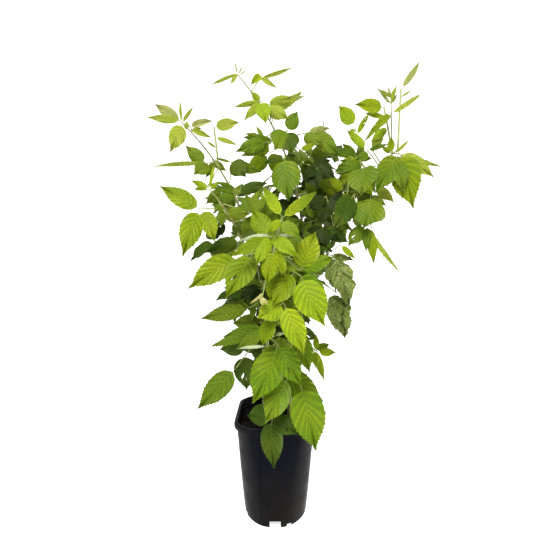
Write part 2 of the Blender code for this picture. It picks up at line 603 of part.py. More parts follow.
def leave_cane(cane, along, way, length):
    """Where a stem starts, a hair clear of the bark, and the knee from which it runs straight on."""
    at_tip = along >= 1.0
    lower, upper, share = cane_chord(cane, along)
    rib = (upper - lower).normalized()
    off = rib if at_tip else (way - way.dot(rib) * rib).normalized()
    clear = GAP if at_tip else cane_radius(along) + GAP
    start = lower.lerp(upper, share) + off * clear
    return start, start + off * min(0.003, length * 0.3)


def shoot_stem(cane, along, heading, rise, length):
    """The stem leaves its cane squarely, then runs on its own heading and sags a little."""
    way = towards(heading, rise)
    start, knee = leave_cane(cane, along, way, length)
    sag = Vector((0, 0, -0.06 * length))
    middle = knee + way * length * 0.5 - sag * 0.5
    return [start, knee, middle, knee + way * length + sag * 0.2]


def set_back(points, distance):
    """The place on a stem that lies this far back from its end."""
    for ahead, behind in zip(points[::-1], points[-2::-1]):
        stretch = (behind - ahead).length
        if distance < stretch:
            return ahead.lerp(behind, distance / stretch)
        distance -= stretch
    return points[1].copy()


def turned(row, attempt):
    """The same shoot with its stem and leaves turned a little; a late attempt has fewer leaves."""
    if attempt == 0:
        return row
    name, cane, along, heading, rise, length_mm, step_mm, tone, seed, leaves = row
    rng = random.Random(seed * ATTEMPTS + attempt)
    kept = max(1, len(leaves) - max(0, attempt - FEWER_AFTER))
    heading += rng.randint(-STEM_TURN, STEM_TURN)
    rise += rng.randint(-STEM_TURN, STEM_TURN)
    moved = []
    for leaf_heading, leaf_rise, *shape in leaves[:kept]:
        leaf_heading += rng.randint(-LEAF_TURN, LEAF_TURN)
        leaf_rise += rng.randint(-LEAF_TURN, LEAF_TURN)
        moved.append((leaf_heading, leaf_rise, *shape))
    return name, cane, along, heading, rise, length_mm, step_mm, tone, seed, tuple(moved)


def build_shoot(row, taken, home):
    """The shoot is grown again, a little turned, until it is whole and clear of its neighbours."""
    for attempt in range(ATTEMPTS):
        body, share = grow_shoot(turned(row, attempt), taken, home)
        tree = tree_of_object(body)
        if share > WHOLE_ENOUGH and not any(tree.overlap(other) for other in taken):
            break
        if attempt < ATTEMPTS - 1:
            bpy.data.objects.remove(body, do_unlink=True)
    taken.append(tree)


def grow_shoot(row, taken, home):
    """A stem that finds its way between its neighbours, with its leaves set back along its end."""
    name, cane, along, heading, rise, length_mm, step_mm, tone, seed, leaves = row
    rng = random.Random(seed)
    length = length_mm / 1000
    for turn, tip in nudges(rng, tries=30, most=45):
        points = shoot_stem(cane, along, heading + turn, rise + tip, length)
        if is_free(twig(points, STEM_ROOT + GAP * 0.8, STEM_TIP + GAP), taken):
            break
    pieces, siblings = [], []
    longest = max(leaf[2] for leaf in leaves) / 1000
    space = (points[-1], length * 0.6 + longest * 1.5)
    for number, leaf in enumerate(leaves):
        root = set_back(points, SINK + step_mm / 1000 * number)
        add_leaf(pieces, taken, siblings, space, root, leaf, rng)
    return join_shoot(name, twig(points, STEM_ROOT, STEM_TIP), pieces, tone, home)


def join_shoot(name, stem, pieces, tone, home):
    """One Boolean union fuses a stem with its leaflets; what it used is then removed."""
    body = add_object(name, mesh_from(stem, name), tone, home)
    group = bpy.data.collections.new(name + "_pieces")
    bpy.context.scene.collection.children.link(group)
    for number, piece in enumerate(pieces):
        add_object(f"{name}_{number}", mesh_from(piece, name), tone, group)
    union = body.modifiers.new("fuse", "BOOLEAN")
    union.operation = "UNION"
    union.operand_type = "COLLECTION"
    union.collection = group
    fused, share = best_union(body, union, group)
    body.modifiers.clear()
    if fused is not None:
        body.data = fused
    for piece in list(group.objects):
        bpy.data.objects.remove(piece, do_unlink=True)
    bpy.data.collections.remove(group)
    return body, share


def best_union(body, union, group):
    """The closed union that keeps most of the pieces, and the share of their volume that it keeps."""
    whole = sum(volume_of(piece.data) for piece in [body, *group.objects])
    best, share = None, 0.0
    for solver in SOLVERS:
        union.solver = solver
        bpy.context.view_layer.update()
        found = body.evaluated_get(bpy.context.evaluated_depsgraph_get())
        fused = bpy.data.meshes.new_from_object(found)
        kept = volume_of(fused) / whole if keep_main_body(fused) else 0.0
        if kept > share:
            best, share = fused, kept
        if share > WHOLE_ENOUGH:
            break
    return best, share


def volume_of(mesh):
    bm = bmesh.new()
    bm.from_mesh(mesh)
    volume = abs(bm.calc_volume())
    bm.free()
    return volume


def keep_main_body(mesh):
    """Loose scraps are dropped, so that the largest connected body stays. Says whether it is closed."""
    bm = bmesh.new()
    bm.from_mesh(mesh)
    left, bodies = set(bm.verts), []
    while left:
        body, edge = set(), [left.pop()]
        while edge:
            corner = edge.pop()
            body.add(corner)
            for link in corner.link_edges:
                other = link.other_vert(corner)
                if other in left:
                    left.remove(other)
                    edge.append(other)
        bodies.append(body)
    bodies.sort(key=len)
    for scrap in bodies[:-1]:
        bmesh.ops.delete(bm, geom=list(scrap), context="VERTS")
    bmesh.ops.triangulate(bm, faces=bm.faces)
    bmesh.ops.recalc_face_normals(bm, faces=bm.faces)
    closed = all(len(edge.link_faces) == 2 for edge in bm.edges)
    bm.to_mesh(mesh)
    bm.free()
    return closed


def tree_of_object(item):
    bm = bmesh.new()
    bm.from_mesh(item.data)
    bm.transform(item.matrix_world)
    found = tree_of(bm)
    bm.free()
    return found


def main():
    clear_scene()
    home = bpy.data.collections.new("potted_raspberry")
    cutters = bpy.data.collections.new("cutters")
    bpy.context.scene.collection.children.link(home)
    bpy.context.scene.collection.children.link(cutters)
    placed = [build_pot(home, cutters), build_mix(home)]
    placed += [build_cane(name, home) for name in CANES]
    taken = [tree_of_object(item) for item in placed]
    for row in [aimed_shoot(row) for row in FRONT_SHOOTS] + list(BACK_SHOOTS):
        build_shoot(row, taken, home)


main()
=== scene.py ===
# %% [markdown]
# # A raspberry in its nursery pot
# Seven slender canes rise from a black plastic pot and carry pleated, toothed leaflets. The solids
# of the plant are loaded first as a frame that never moves. Each visible piece is then modelled
# over them, in the same metres, with +Z up and the front of the plant towards -Y.

# %% Load the frame
import math
import random

import bmesh
import bpy
import numpy as np
from mathutils import Matrix, Vector


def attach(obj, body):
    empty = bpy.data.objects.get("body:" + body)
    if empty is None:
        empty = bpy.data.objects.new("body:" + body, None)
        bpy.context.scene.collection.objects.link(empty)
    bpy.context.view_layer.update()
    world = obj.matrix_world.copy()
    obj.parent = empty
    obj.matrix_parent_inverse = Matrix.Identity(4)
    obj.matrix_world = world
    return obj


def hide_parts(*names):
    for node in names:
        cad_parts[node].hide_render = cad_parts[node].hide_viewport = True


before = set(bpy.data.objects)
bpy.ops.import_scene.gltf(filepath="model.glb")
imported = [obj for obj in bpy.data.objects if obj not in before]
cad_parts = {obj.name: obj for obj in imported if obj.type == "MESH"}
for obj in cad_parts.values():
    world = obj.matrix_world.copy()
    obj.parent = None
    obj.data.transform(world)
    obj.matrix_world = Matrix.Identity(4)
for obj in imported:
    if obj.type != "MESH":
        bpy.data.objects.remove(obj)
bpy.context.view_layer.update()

# %% [markdown]
# ## The camera
# The lens is short and stands close, level with the middle of the canes, so the pot is seen a
# little from above and the highest leaves a little from below.

# %% The camera
IMAGE_WIDTH = 553
FOCAL_PIXELS = 314.36
SENSOR = 36.0
EYE = Vector((0.0022, -0.690, 0.525))
EYE_STOOP = math.radians(1.459)             # how far the eye looks down
camera_data = bpy.data.cameras.new("camera")
camera_data.sensor_width = SENSOR
camera_data.lens = SENSOR * FOCAL_PIXELS / IMAGE_WIDTH
camera_data.clip_start = 0.01
camera = bpy.data.objects.new("camera", camera_data)
camera.location = EYE
camera.rotation_euler = (math.radians(90) - EYE_STOOP, 0, 0)
bpy.context.scene.collection.objects.link(camera)
bpy.context.scene.camera = camera
print("lens", round(camera_data.lens, 2), "mm")

# %% [markdown]
# ## Floor and light
# A studio sweep is one sheet that lies flat and then curves up, so no horizon shows. It is a plane
# whose far edge is extruded step by step round a quarter circle. A wide lamp above and in front
# lights the faces of the leaves, and a bright sky fills the shade. Two tiny lamps hang under the
# pot's raised floor, so that the ground seen through its front slots is as white as the rest.

# %% The sweep
SWEEP_HALF = 4.0
SWEEP_BACK = 1.6
SWEEP_RADIUS = 1.2
SWEEP_STEPS = 12
SWEEP_FRONT, SWEEP_TOP = -3.0, 5.0
PAPER_GLOW = 0.58


def mesh_from(bm, name):
    """Turns a finished bmesh into a mesh and frees it."""
    mesh = bpy.data.meshes.new(name)
    bm.to_mesh(mesh)
    bm.free()
    return mesh


def paper_finish():
    """White paper that glows a little, so it stays pale where the plant shades it."""
    made = bpy.data.materials.new("white_paper")
    made.use_nodes = True
    inputs = made.node_tree.nodes["Principled BSDF"].inputs
    inputs["Base Color"].default_value = (0.93, 0.93, 0.93, 1)
    inputs["Roughness"].default_value = 0.9
    inputs["Emission Color"].default_value = (1, 1, 1, 1)
    inputs["Emission Strength"].default_value = PAPER_GLOW
    return made


def lay_sweep():
    bm = bmesh.new()
    front = [bm.verts.new((x, SWEEP_FRONT, 0)) for x in (-SWEEP_HALF, SWEEP_HALF)]
    edge = bm.edges.new(front)
    places = [(SWEEP_BACK, 0.0)]
    for step in range(1, SWEEP_STEPS + 1):
        turn = math.pi / 2 * step / SWEEP_STEPS
        places.append((SWEEP_BACK + SWEEP_RADIUS * math.sin(turn), SWEEP_RADIUS * (1 - math.cos(turn))))
    places.append((SWEEP_BACK + SWEEP_RADIUS, SWEEP_TOP))
    for back, height in places:
        grown = bmesh.ops.extrude_edge_only(bm, edges=[edge])["geom"]
        edge = next(item for item in grown if isinstance(item, bmesh.types.BMEdge))
        for corner in edge.verts:
            corner.co.y, corner.co.z = back, height
    bmesh.ops.recalc_face_normals(bm, faces=bm.faces)
    mesh = mesh_from(bm, "sweep")
    mesh.shade_smooth()
    sweep = bpy.data.objects.new("sweep", mesh)
    bpy.context.scene.collection.objects.link(sweep)
    return sweep


sweep = lay_sweep()
sweep.data.materials.append(paper_finish())
print("sweep", len(sweep.data.polygons), "faces")

# %% The lights
SKY_STRENGTH = 0.44
bpy.context.scene.view_settings.view_transform = "Standard"
world = bpy.data.worlds.new("studio")
world.use_nodes = True
sky = world.node_tree.nodes["Background"].inputs
sky["Color"].default_value = (1, 1, 1, 1)
sky["Strength"].default_value = SKY_STRENGTH
bpy.context.scene.world = world


def hang_lamp(name, place, aim, size, watts):
    data = bpy.data.lights.new(name, "AREA")
    data.shape = "SQUARE"
    data.size = size
    data.energy = watts
    lamp = bpy.data.objects.new(name, data)
    lamp.location = place
    lamp.rotation_euler = (Vector(aim) - Vector(place)).to_track_quat("-Z", "Y").to_euler()
    bpy.context.scene.collection.objects.link(lamp)


SLOT_LAMP_SIDE = 0.028      # how far each of the two stands from the pot's middle plane
CROWN_MIDDLE = (0, 0, 0.6)
hang_lamp("key_lamp", (-0.5, -1.5, 2.3), CROWN_MIDDLE, 1.2, 92)
hang_lamp("side_lamp", (2.2, -1.0, 1.4), CROWN_MIDDLE, 1.2, 12)
hang_lamp("pot_lamp", (1.6, 0.15, 0.34), (0, 0, 0.1), 0.6, 34)
for name, across in (("left_slot_lamp", -SLOT_LAMP_SIDE), ("right_slot_lamp", SLOT_LAMP_SIDE)):
    hang_lamp(name, (across, -0.040, 0.0165), (across * 0.1, -0.052, 0), 0.016, 0.004)

# %% [markdown]
# ## The plant's habit
# Each cane is an arc through its foot, waist and tip. Each shoot leaves its cane at a height and
# carries its leaves set back from its end. For the shoots in front, the table says where the stem's
# end and each leaf's tip show in a front view, a square of 553 columns and rows, and how many
# millimetres they lie behind the pot's axis. For those behind it gives headings. The solids were
# made from the same table.

# %% The canes and shoots in numbers
MIX_TOP = 0.190
CANES = {
    "left_cane": ((-0.020, 0.000), (-0.048, -0.010, 0.570), (-0.185, -0.049, 0.815)),
    "left_front_cane": ((-0.026, -0.024), (-0.040, -0.052, 0.490), (-0.125, -0.079, 0.675)),
    "centre_cane": ((0.006, 0.010), (0.060, 0.018, 0.620), (-0.078, 0.001, 0.940)),
    "right_cane": ((0.030, -0.008), (0.088, -0.010, 0.520), (0.256, -0.020, 0.775)),
    "front_cane": ((0.000, -0.038), (-0.016, -0.095, 0.430), (0.009, -0.162, 0.603)),
    "back_cane": ((0.012, 0.032), (0.030, 0.080, 0.540), (0.070, 0.150, 0.800)),
    "back_left_cane": ((-0.016, 0.030), (-0.045, 0.075, 0.470), (-0.100, 0.120, 0.700)),
}
CANE_FOOT, CANE_TIP = 0.0044, 0.0013       # radii
VIEW_MIDDLE = IMAGE_WIDTH / 2
# Name, cane, height along it, the stem's end, the step between leaves in mm, the leaves' tones (the
# last one serves the rest), seed, and each leaf: the place of its tip and its width to length
FRONT_SHOOTS = (
    ("left_tip", "left_cane", 1.0, (181, 121, -50), 1.6, "olive pale olive", 1, (
        (147, 117, -62, 0.24), (155, 105, -40, 0.32), (179, 101, -45, 0.12), (192, 106, -50, 0.18),
        (170, 152, -80, 0.40), (190, 127, -66, 0.50))),
    ("left_tip_side", "left_cane", 0.96, (190, 127, -55), 3, "pale olive", 2, (
        (213, 122, -52, 0.28), (212, 139, -60, 0.22), (202, 128, -44, 0.26))),
    ("left_upper", "left_cane", 0.82, (214, 127, -44), 20, "olive", 3, (
        (239, 122, -48, 0.42), (238, 145, -50, 0.19), (206, 141, -40, 0.20))),
    ("left_side", "left_cane", 0.83, (205, 164, -50), 5, "green olive green", 4, (
        (186, 146, -50, 0.52), (152, 163, -60, 0.08), (194, 175, -56, 0.70))),
    ("left_heart", "left_cane", 0.74, (232, 160, -36), 5, "dark green", 5, (
        (245, 178, -50, 0.72), (214, 158, -40, 0.16), (262, 170, -36, 0.34))),
    ("left_trio", "left_front_cane", 0.88, (199, 209, -118), 4, "leaf", 6, (
        (180, 255, -150, 0.40), (160, 187, -112, 0.38), (217, 241, -132, 0.42))),
    ("left_front_tip", "left_front_cane", 1.0, (208, 189, -80), 1.5, "lime", 7, (
        (192, 181, -78, 0.34), (193, 190, -90, 0.14), (214, 164, -70, 0.12), (219, 181, -82, 0.30))),
    ("left_front_side", "left_cane", 0.66, (237, 190, -48), 5, "green dark green", 8, (
        (208, 185, -56, 0.36), (268, 183, -52, 0.34), (211, 205, -64, 0.42))),
    ("left_under", "left_front_cane", 0.8, (241, 241, -72), 5, "dark", 9, (
        (205, 250, -85, 0.42), (263, 231, -70, 0.46), (222, 240, -80, 0.16), (232, 225, -80, 0.56))),
    ("centre_tip", "centre_cane", 1.0, (236, 74, 0), 1.6, "olive", 10, (
        (210, 85, -10, 0.11), (230, 84, -20, 0.20), (235, 61, 0, 0.10), (243, 65, 6, 0.10),
        (229, 76, 0, 0.40), (247, 69, 4, 0.10))),
    ("centre_upper", "centre_cane", 0.945, (262, 76, 0), 3, "lime olive", 11, (
        (251, 86, -6, 0.44), (277, 91, -10, 0.20), (293, 70, -4, 0.11))),
    ("centre_fan", "centre_cane", 0.9, (262, 101, -10), 3, "lime olive olive leaf", 12, (
        (264, 124, -30, 0.52), (233, 106, -16, 0.17), (244, 121, -26, 0.26), (251, 92, 0, 0.46))),
    ("centre_fan_right", "centre_cane", 0.87, (267, 105, -10), 6, "olive olive pale", 13, (
        (293, 98, -14, 0.38), (290, 118, -26, 0.44), (305, 93, -4, 0.16))),
    ("centre_broad", "centre_cane", 0.79, (288, 131, -24), 3, "green green dark", 14, (
        (273, 149, -50, 0.80), (298, 112, -28, 0.66), (294, 154, -50, 0.60))),
    ("centre_left", "centre_cane", 0.76, (267, 142, -30), 14, "green", 15, (
        (236, 152, -42, 0.42), (241, 158, -40, 0.27), (243, 139, -20, 0.30))),
    ("front_whorl", "front_cane", 0.92, (268, 236, -158), 2.4, "leaf lime lime silver leaf silver", 16, (
        (254, 210, -135, 0.58), (256, 265, -184, 0.42), (298, 257, -184, 0.38), (239, 238, -170, 0.18),
        (230, 257, -176, 0.27), (299, 234, -172, 0.12))),
    ("centre_droop", "centre_cane", 0.74, (285, 157, -50), 8, "green dark", 17, (
        (286, 201, -80, 0.58), (264, 163, -50, 0.30), (301, 163, -40, 0.60))),
    ("centre_right", "centre_cane", 0.77, (311, 132, -8), 9, "green pale green", 18, (
        (341, 153, -22, 0.42), (330, 126, -6, 0.28), (322, 146, -22, 0.50))),
    ("right_heart", "right_cane", 0.86, (363, 166, -40), 5, "green", 20, (
        (364, 195, -66, 0.86), (338, 166, -30, 0.46), (345, 184, -44, 0.50))),
    ("right_low", "right_cane", 0.7, (369, 226, -56), 4, "leaf green olive green", 21, (
        (376, 264, -70, 0.24), (365, 252, -66, 0.28), (396, 276, -76, 0.08), (350, 247, -60, 0.52))),
    ("right_tall", "right_cane", 1.0, (401, 89, 0), 20, "pale olive", 23, (
        (420, 63, 4, 0.18), (412, 90, -2, 0.14), (421, 96, -8, 0.13))),
    ("right_second", "right_cane", 0.985, (384, 107, -16), 22, "leaf lime", 25, (
        (355, 107, -26, 0.42), (364, 114, -10, 0.22), (371, 142, -24, 0.32))),
    ("right_arch", "right_cane", 0.985, (391, 98, -10), 17, "olive olive leaf", 180, (
        (377, 88, -14, 0.14), (396, 86, -12, 0.16), (364, 147, -50, 0.13))),
    ("right_lime", "right_cane", 0.84, (355, 125, -4), 12, "lime", 27, (
        (338, 107, -4, 0.58), (349, 131, -20, 0.34), (368, 112, 10, 0.16))),
    ("right_inner", "right_cane", 0.92, (366, 149, -36), 5, "lime green", 28, (
        (348, 129, -24, 0.28), (388, 143, -34, 0.20), (356, 161, -50, 0.40))),
    ("right_palmate", "right_cane", 0.985, (400, 154, -40), 3, "leaf green olive green olive", 29, (
        (417, 206, -78, 0.46), (373, 191, -70, 0.40), (433, 177, -66, 0.38), (400, 192, -74, 0.36),
        (442, 169, -50, 0.10), (409, 140, -36, 0.20))),
    ("right_mid", "right_cane", 0.78, (354, 194, -52), 7, "dark", 30, (
        (333, 229, -74, 0.48), (382, 205, -50, 0.40), (338, 200, -40, 0.40))),
    ("right_droop", "right_cane", 0.8, (371, 196, -52), 5, "green", 31, (
        (366, 228, -80, 0.90), (386, 206, -60, 0.44))),
    ("right_hanging", "right_cane", 0.56, (334, 256, -60), 8, "curled", 32, (
        (353, 305, -70, 0.40), (336, 291, -60, 0.46), (354, 259, -56, 0.30))),
    ("right_curled", "right_cane", 0.47, (337, 293, -43), 6, "curled", 33, (
        (348, 337, -56, 0.44), (338, 331, -60, 0.40))),
    ("front_star", "front_cane", 1.0, (282, 217, -165), 2, "lime leaf lime fresh", 34, (
        (262, 188, -150, 0.30), (317, 193, -150, 0.24), (268, 233, -176, 0.40),
        (299, 238, -176, 0.50))),
    ("front_left", "front_cane", 0.84, (240, 257, -130), 24, "leaf leaf lime", 36, (
        (188, 286, -150, 0.44), (230, 299, -166, 0.50), (284, 271, -176, 0.17))),
    ("front_right", "front_cane", 0.84, (300, 271, -148), 2, "leaf fresh leaf", 37, (
        (314, 232, -140, 0.60), (333, 257, -130, 0.40), (284, 268, -160, 0.30))),
    ("front_mid", "front_cane", 0.79, (301, 276, -156), 7, "lime fresh leaf", 38, (
        (320, 327, -184, 0.58), (327, 304, -150, 0.52), (271, 305, -168, 0.52))),
    ("front_low", "front_cane", 0.64, (284, 304, -160), 3, "lime lime green", 39, (
        (306, 353, -186, 0.44), (258, 319, -172, 0.74), (270, 330, -150, 0.50))),
    ("low_left_upper", "front_cane", 0.6, (250, 308, -110), 5, "green", 40, (
        (201, 317, -112, 0.32), (216, 310, -96, 0.34), (251, 320, -124, 0.40))),
    ("low_left_round", "front_cane", 0.42, (247, 344, -90), 5, "dark", 41, (
        (220, 348, -90, 0.72), (226, 335, -80, 0.30), (252, 352, -80, 0.50))),
    ("low_left_lone", "left_front_cane", 0.3, (236, 368, -76), 34, "green dark", 42, (
        (199, 409, -86, 0.42), (245, 389, -60, 0.66))),
    ("bottom_left", "front_cane", 0.42, (278, 345, -122), 5, "fresh fresh green", 43, (
        (258, 404, -150, 0.54), (302, 385, -152, 0.50), (262, 372, -110, 0.50))),
    ("bottom_right", "front_cane", 0.27, (300, 384, -118), 28, "fresh", 44, (
        (320, 448, -144, 0.54), (263, 421, -146, 0.56), (323, 400, -100, 0.50))),
    ("bottom_mid", "front_cane", 0.53, (265, 330, -118), 4, "green", 45, (
        (236, 349, -132, 0.38), (222, 334, -108, 0.26), (211, 351, -116, 0.18))),
    ("pot_droop", "front_cane", 0.12, (272, 418, -100), 5, "dark", 46, (
        (270, 467, -124, 0.50), (298, 435, -116, 0.55), (248, 416, -76, 0.76))),
    ("low_sprout", "right_cane", 0.26, (318, 352, -60), 3, "lime leaf fresh lime", 47, (
        (336, 352, -68, 0.46), (315, 334, -50, 0.36), (329, 343, -46, 0.52), (316, 368, -70, 0.40),
        (326, 380, -64, 0.24))),
)
# These shoots are too fine for the solids
# The near-black shoots below, front_inner, crown_one, crown_two, crown_three, crown_five, low_shade and
# star_shade, are painted shade inside the crown.
FINE_SHOOTS = (
    ("right_buds", "right_cane", 0.985, (391, 98, -10), 3, "pale", 101, (
        (383, 90, -8, 0.24), (388, 87, -10, 0.18), (394, 89, -10, 0.26), (385, 101, -14, 0.22),
        (397, 94, -12, 0.30), (378, 88, -10, 0.12))),
    ("right_long", "right_cane", 0.985, (391, 114, -10), 3, "olive", 122, (
        (421, 96, -12, 0.14),)),
    ("right_spur", "right_cane", 0.97, (391, 153, -40), 3, "leaf", 102, (
        (391, 137, -42, 0.46), (381, 146, -50, 0.30))),
    ("right_chip", "right_cane", 0.55, (341, 245, -55), 3, "lime", 103, (
        (355, 259, -60, 0.30),)),
    ("young_star", "left_cane", 0.8, (208, 188, -60), 4, "lime", 104, (
        (192, 180, -62, 0.36), (198, 186, -70, 0.30), (193, 190, -66, 0.14), (215, 173, -66, 0.12))),
    ("left_front_upper", "left_front_cane", 0.93, (226, 214, -86), 6, "green", 105, (
        (250, 212, -92, 0.52), (212, 204, -90, 0.44), (219, 225, -90, 0.50))),
    ("left_front_inner", "left_front_cane", 0.9, (252, 215, -70), 5, "green", 106, (
        (262, 189, -66, 0.56), (246, 196, -50, 0.60))),
    ("front_bracts", "front_cane", 0.84, (262, 298, -176), 3, "dry", 107, (
        (268, 304, -180, 0.44), (262, 306, -182, 0.50), (250, 304, -180, 0.16),
        (257, 299, -176, 0.30))),
    ("front_inner", "front_cane", 0.7, (262, 290, -120), 5, "deep", 108, (
        (250, 301, -130, 0.50), (240, 298, -110, 0.56), (272, 320, -130, 0.50))),
    # The narrow silver leaf below stands for a pale streak of light: a painted highlight.
    ("front_rim", "front_cane", 0.53, (288, 333, -140), 3, "silver", 109, (
        (275, 334, -140, 0.16),)),
    ("low_rim", "front_cane", 0.53, (268, 346, -136), 3, "silver", 110, (
        (237, 349, -140, 0.10),)),
    ("crown_top", "centre_cane", 0.83, (273, 109, -14), 7, "olive", 111, (
        (270, 121, -20, 0.22), (304, 94, 4, 0.20))),
    ("crown_lime", "centre_cane", 0.77, (300, 150, -30), 5, "leaf", 112, (
        (316, 144, -20, 0.30),)),
    ("crown_one", "centre_cane", 0.7, (318, 168, -20), 8, "deep", 113, (
        (304, 176, -40, 0.56), (336, 176, -30, 0.56), (330, 160, -10, 0.50), (320, 188, -40, 0.60))),
    ("crown_two", "right_cane", 0.66, (326, 196, -30), 8, "deep", 114, (
        (309, 209, -50, 0.60), (340, 212, -40, 0.56), (322, 222, -50, 0.60), (343, 190, -20, 0.44))),
    ("crown_three", "right_cane", 0.6, (322, 226, -40), 8, "deep", 115, (
        (326, 247, -60, 0.66), (306, 230, -50, 0.50), (340, 240, -40, 0.46))),
    ("crown_four", "right_cane", 0.74, (352, 158, -10), 6, "green", 116, (
        (326, 152, -10, 0.14), (344, 168, -20, 0.44), (334, 172, -30, 0.40))),
    ("crown_five", "back_cane", 0.9, (318, 176, 80), 6, "deep", 117, (
        (300, 190, 60, 0.60), (336, 194, 60, 0.60), (316, 206, 60, 0.56))),
    ("low_shade", "front_cane", 0.5, (268, 327, -90), 6, "deep", 118, (
        (284, 331, -90, 0.40), (252, 337, -80, 0.50))),
    ("low_back", "right_cane", 0.4, (300, 350, -30), 6, "dark", 119, (
        (306, 366, -40, 0.56), (304, 342, -30, 0.40))),
    ("front_fill", "front_cane", 0.72, (278, 272, -140), 4, "leaf", 120, (
        (270, 302, -145, 0.62), (292, 300, -140, 0.56), (286, 268, -120, 0.50))),
    ("front_under", "front_cane", 0.62, (284, 300, -120), 4, "green", 121, (
        (276, 322, -125, 0.60), (300, 322, -120, 0.56))),
    ("front_cover", "front_cane", 0.66, (276, 300, -150), 5, "leaf", 123, (
        (268, 324, -155, 0.60), (286, 322, -150, 0.50))),
    ("left_fill", "left_cane", 0.7, (222, 190, -20), 8, "green", 124, (
        (206, 204, -30, 0.50), (236, 206, -30, 0.44), (220, 212, -30, 0.50))),
    ("left_high", "left_cane", 0.8, (212, 160, -30), 6, "green", 125, (
        (226, 172, -30, 0.40), (206, 178, -30, 0.40))),
    ("crown_left", "centre_cane", 0.8, (262, 140, -10), 6, "olive", 126, (
        (246, 132, -16, 0.36), (256, 126, -16, 0.30))),
    ("right_high", "right_cane", 0.93, (372, 150, -20), 6, "olive", 127, (
        (384, 132, -20, 0.36), (376, 128, -20, 0.22))),
    ("front_veil", "front_cane", 0.93, (274, 250, -172), 4, "leaf", 128, (
        (264, 283, -178, 0.52), (284, 276, -176, 0.46))),
    ("right_gap", "right_cane", 0.88, (356, 156, -10), 6, "green", 129, (
        (342, 144, -10, 0.40), (372, 158, -20, 0.44), (362, 142, 0, 0.36))),
    ("low_fill", "right_cane", 0.3, (300, 332, -110), 5, "fresh", 130, (
        (306, 372, -125, 0.50),)),
    ("right_spare", "right_cane", 0.9, (376, 186, -20), 6, "olive", 131, (
        (393, 203, -34, 0.42), (388, 184, -20, 0.30))),
    ("star_shade", "centre_cane", 0.62, (287, 198, -40), 6, "deep", 132, (
        (276, 214, -50, 0.56), (301, 212, -50, 0.56), (288, 184, -40, 0.44))),
    ("low_cover", "front_cane", 0.6, (271, 318, -150), 5, "leaf", 133, (
        (262, 345, -158, 0.56),)),
)
# Name, cane, height along it, heading, rise, length and step in mm, tone, seed, and each leaf:
# heading, rise, leaflet length in mm, leaflets, width to length
BACK_SHOOTS = (
    ("crown_right", "back_cane", 0.98, -34, 20, 82, 26, "dark", 19, (
        (-19, -22, 69, 5, 0.50), (-94, 46, 64, 5, 0.54))),
    ("back_top", "back_cane", 1.00, 90, 60, 10, 4, "green", 48, (
        (100, 20, 76, 5, 0.46), (-140, 20, 60, 3, 0.46), (20, 20, 70, 3, 0.46))),
    ("back_right", "back_cane", 0.82, 20, 10, 80, 30, "green", 49, (
        (25, -30, 86, 5, 0.50), (100, -20, 80, 3, 0.50))),
    ("back_middle", "back_cane", 0.66, 105, 5, 70, 28, "dark", 50, (
        (105, -35, 88, 5, 0.50), (30, -30, 80, 5, 0.50))),
    ("back_low", "back_cane", 0.42, 60, 5, 80, 30, "dark", 51, (
        (60, -40, 90, 5, 0.50), (130, -30, 80, 3, 0.50))),
    ("back_left_tip", "back_left_cane", 1.00, 130, 40, 10, 4, "green", 52, (
        (150, 5, 76, 5, 0.46), (60, 20, 70, 3, 0.44))),
    ("back_left_side", "back_left_cane", 0.78, 165, 5, 60, 24, "dark", 53, (
        (165, -35, 84, 5, 0.50), (90, -30, 80, 3, 0.50))),
    ("back_left_low", "back_left_cane", 0.50, 130, 0, 70, 28, "dark", 54, (
        (130, -40, 90, 5, 0.50), (-160, -40, 80, 3, 0.50))),
)

RACHIS = {1: 0.02, 3: 0.14, 5: 0.34}       # the stalk between leaflets, as a share of their length
FANS = {
    1: ((0, 1.0),),
    3: ((0, 1.0), (68, 0.0), (-68, 0.0)),
    5: ((0, 1.0), (62, 0.5), (-62, 0.5), (84, 0.0), (-84, 0.0)),
}
FRONT_LIGHT = Vector((0.0, -0.85, 0.53))
FRONT_DEPTH = 0.06          # nearer than this a blade turns to the eye
LIFT_OF_FACE = 0.12         # a blade in front looks at the eye, and this much upward
print(len(CANES), "canes and", len(FRONT_SHOOTS) + len(FINE_SHOOTS) + len(BACK_SHOOTS), "shoots")


# %% [markdown]
# ## Places and directions
# A few helpers turn the tables into metres. A cane is a quadratic Bezier arc, worked out by hand so
# that a shoot can ask for any height along it. `seen` runs the camera backwards: it follows the line
# of sight through a column and a row until it reaches the depth.

# %% Where a cane runs
def cane_point(name, along):
    (foot_x, foot_y), waist, tip = CANES[name]
    foot = Vector((foot_x, foot_y, MIX_TOP))
    waist, tip = Vector(waist), Vector(tip)
    pull = 2 * waist - (foot + tip) / 2
    return (1 - along) ** 2 * foot + 2 * along * (1 - along) * pull + along ** 2 * tip


def cane_radius(along):
    return CANE_FOOT + (CANE_TIP - CANE_FOOT) * along


def towards(heading, rise):
    turn, lift = math.radians(heading), math.radians(rise)
    return Vector((math.cos(turn) * math.cos(lift), math.sin(turn) * math.cos(lift), math.sin(lift)))


def seen(column, row, depth):
    """The place that shows at this column and row of the front view, at this depth."""
    across, up = (column - VIEW_MIDDLE) / FOCAL_PIXELS, (VIEW_MIDDLE - row) / FOCAL_PIXELS
    ahead, above = math.cos(EYE_STOOP), math.sin(EYE_STOOP)
    sight = Vector((across, ahead + up * above, up * ahead - above))
    return EYE + sight * ((depth / 1000 - EYE.y) / sight.y)


def facing(direction, place, inner=False):
    """The way a blade's upper side looks, square to its rib: in front to the eye, inside outward."""
    outward = Vector((place.x, place.y, 0.0))
    if outward.length > 0.001:
        outward.normalize()
    wish = FRONT_LIGHT + 0.30 * outward
    if inner:
        wish = 0.7 * FRONT_LIGHT + 0.6 * outward
    elif place.y < FRONT_DEPTH:
        wish = (EYE - place).normalized() + Vector((0, 0, LIFT_OF_FACE))
    return (wish - wish.dot(direction) * direction).normalized()


print("tips at", {name: [round(v, 2) for v in cane_point(name, 1)] for name in CANES})

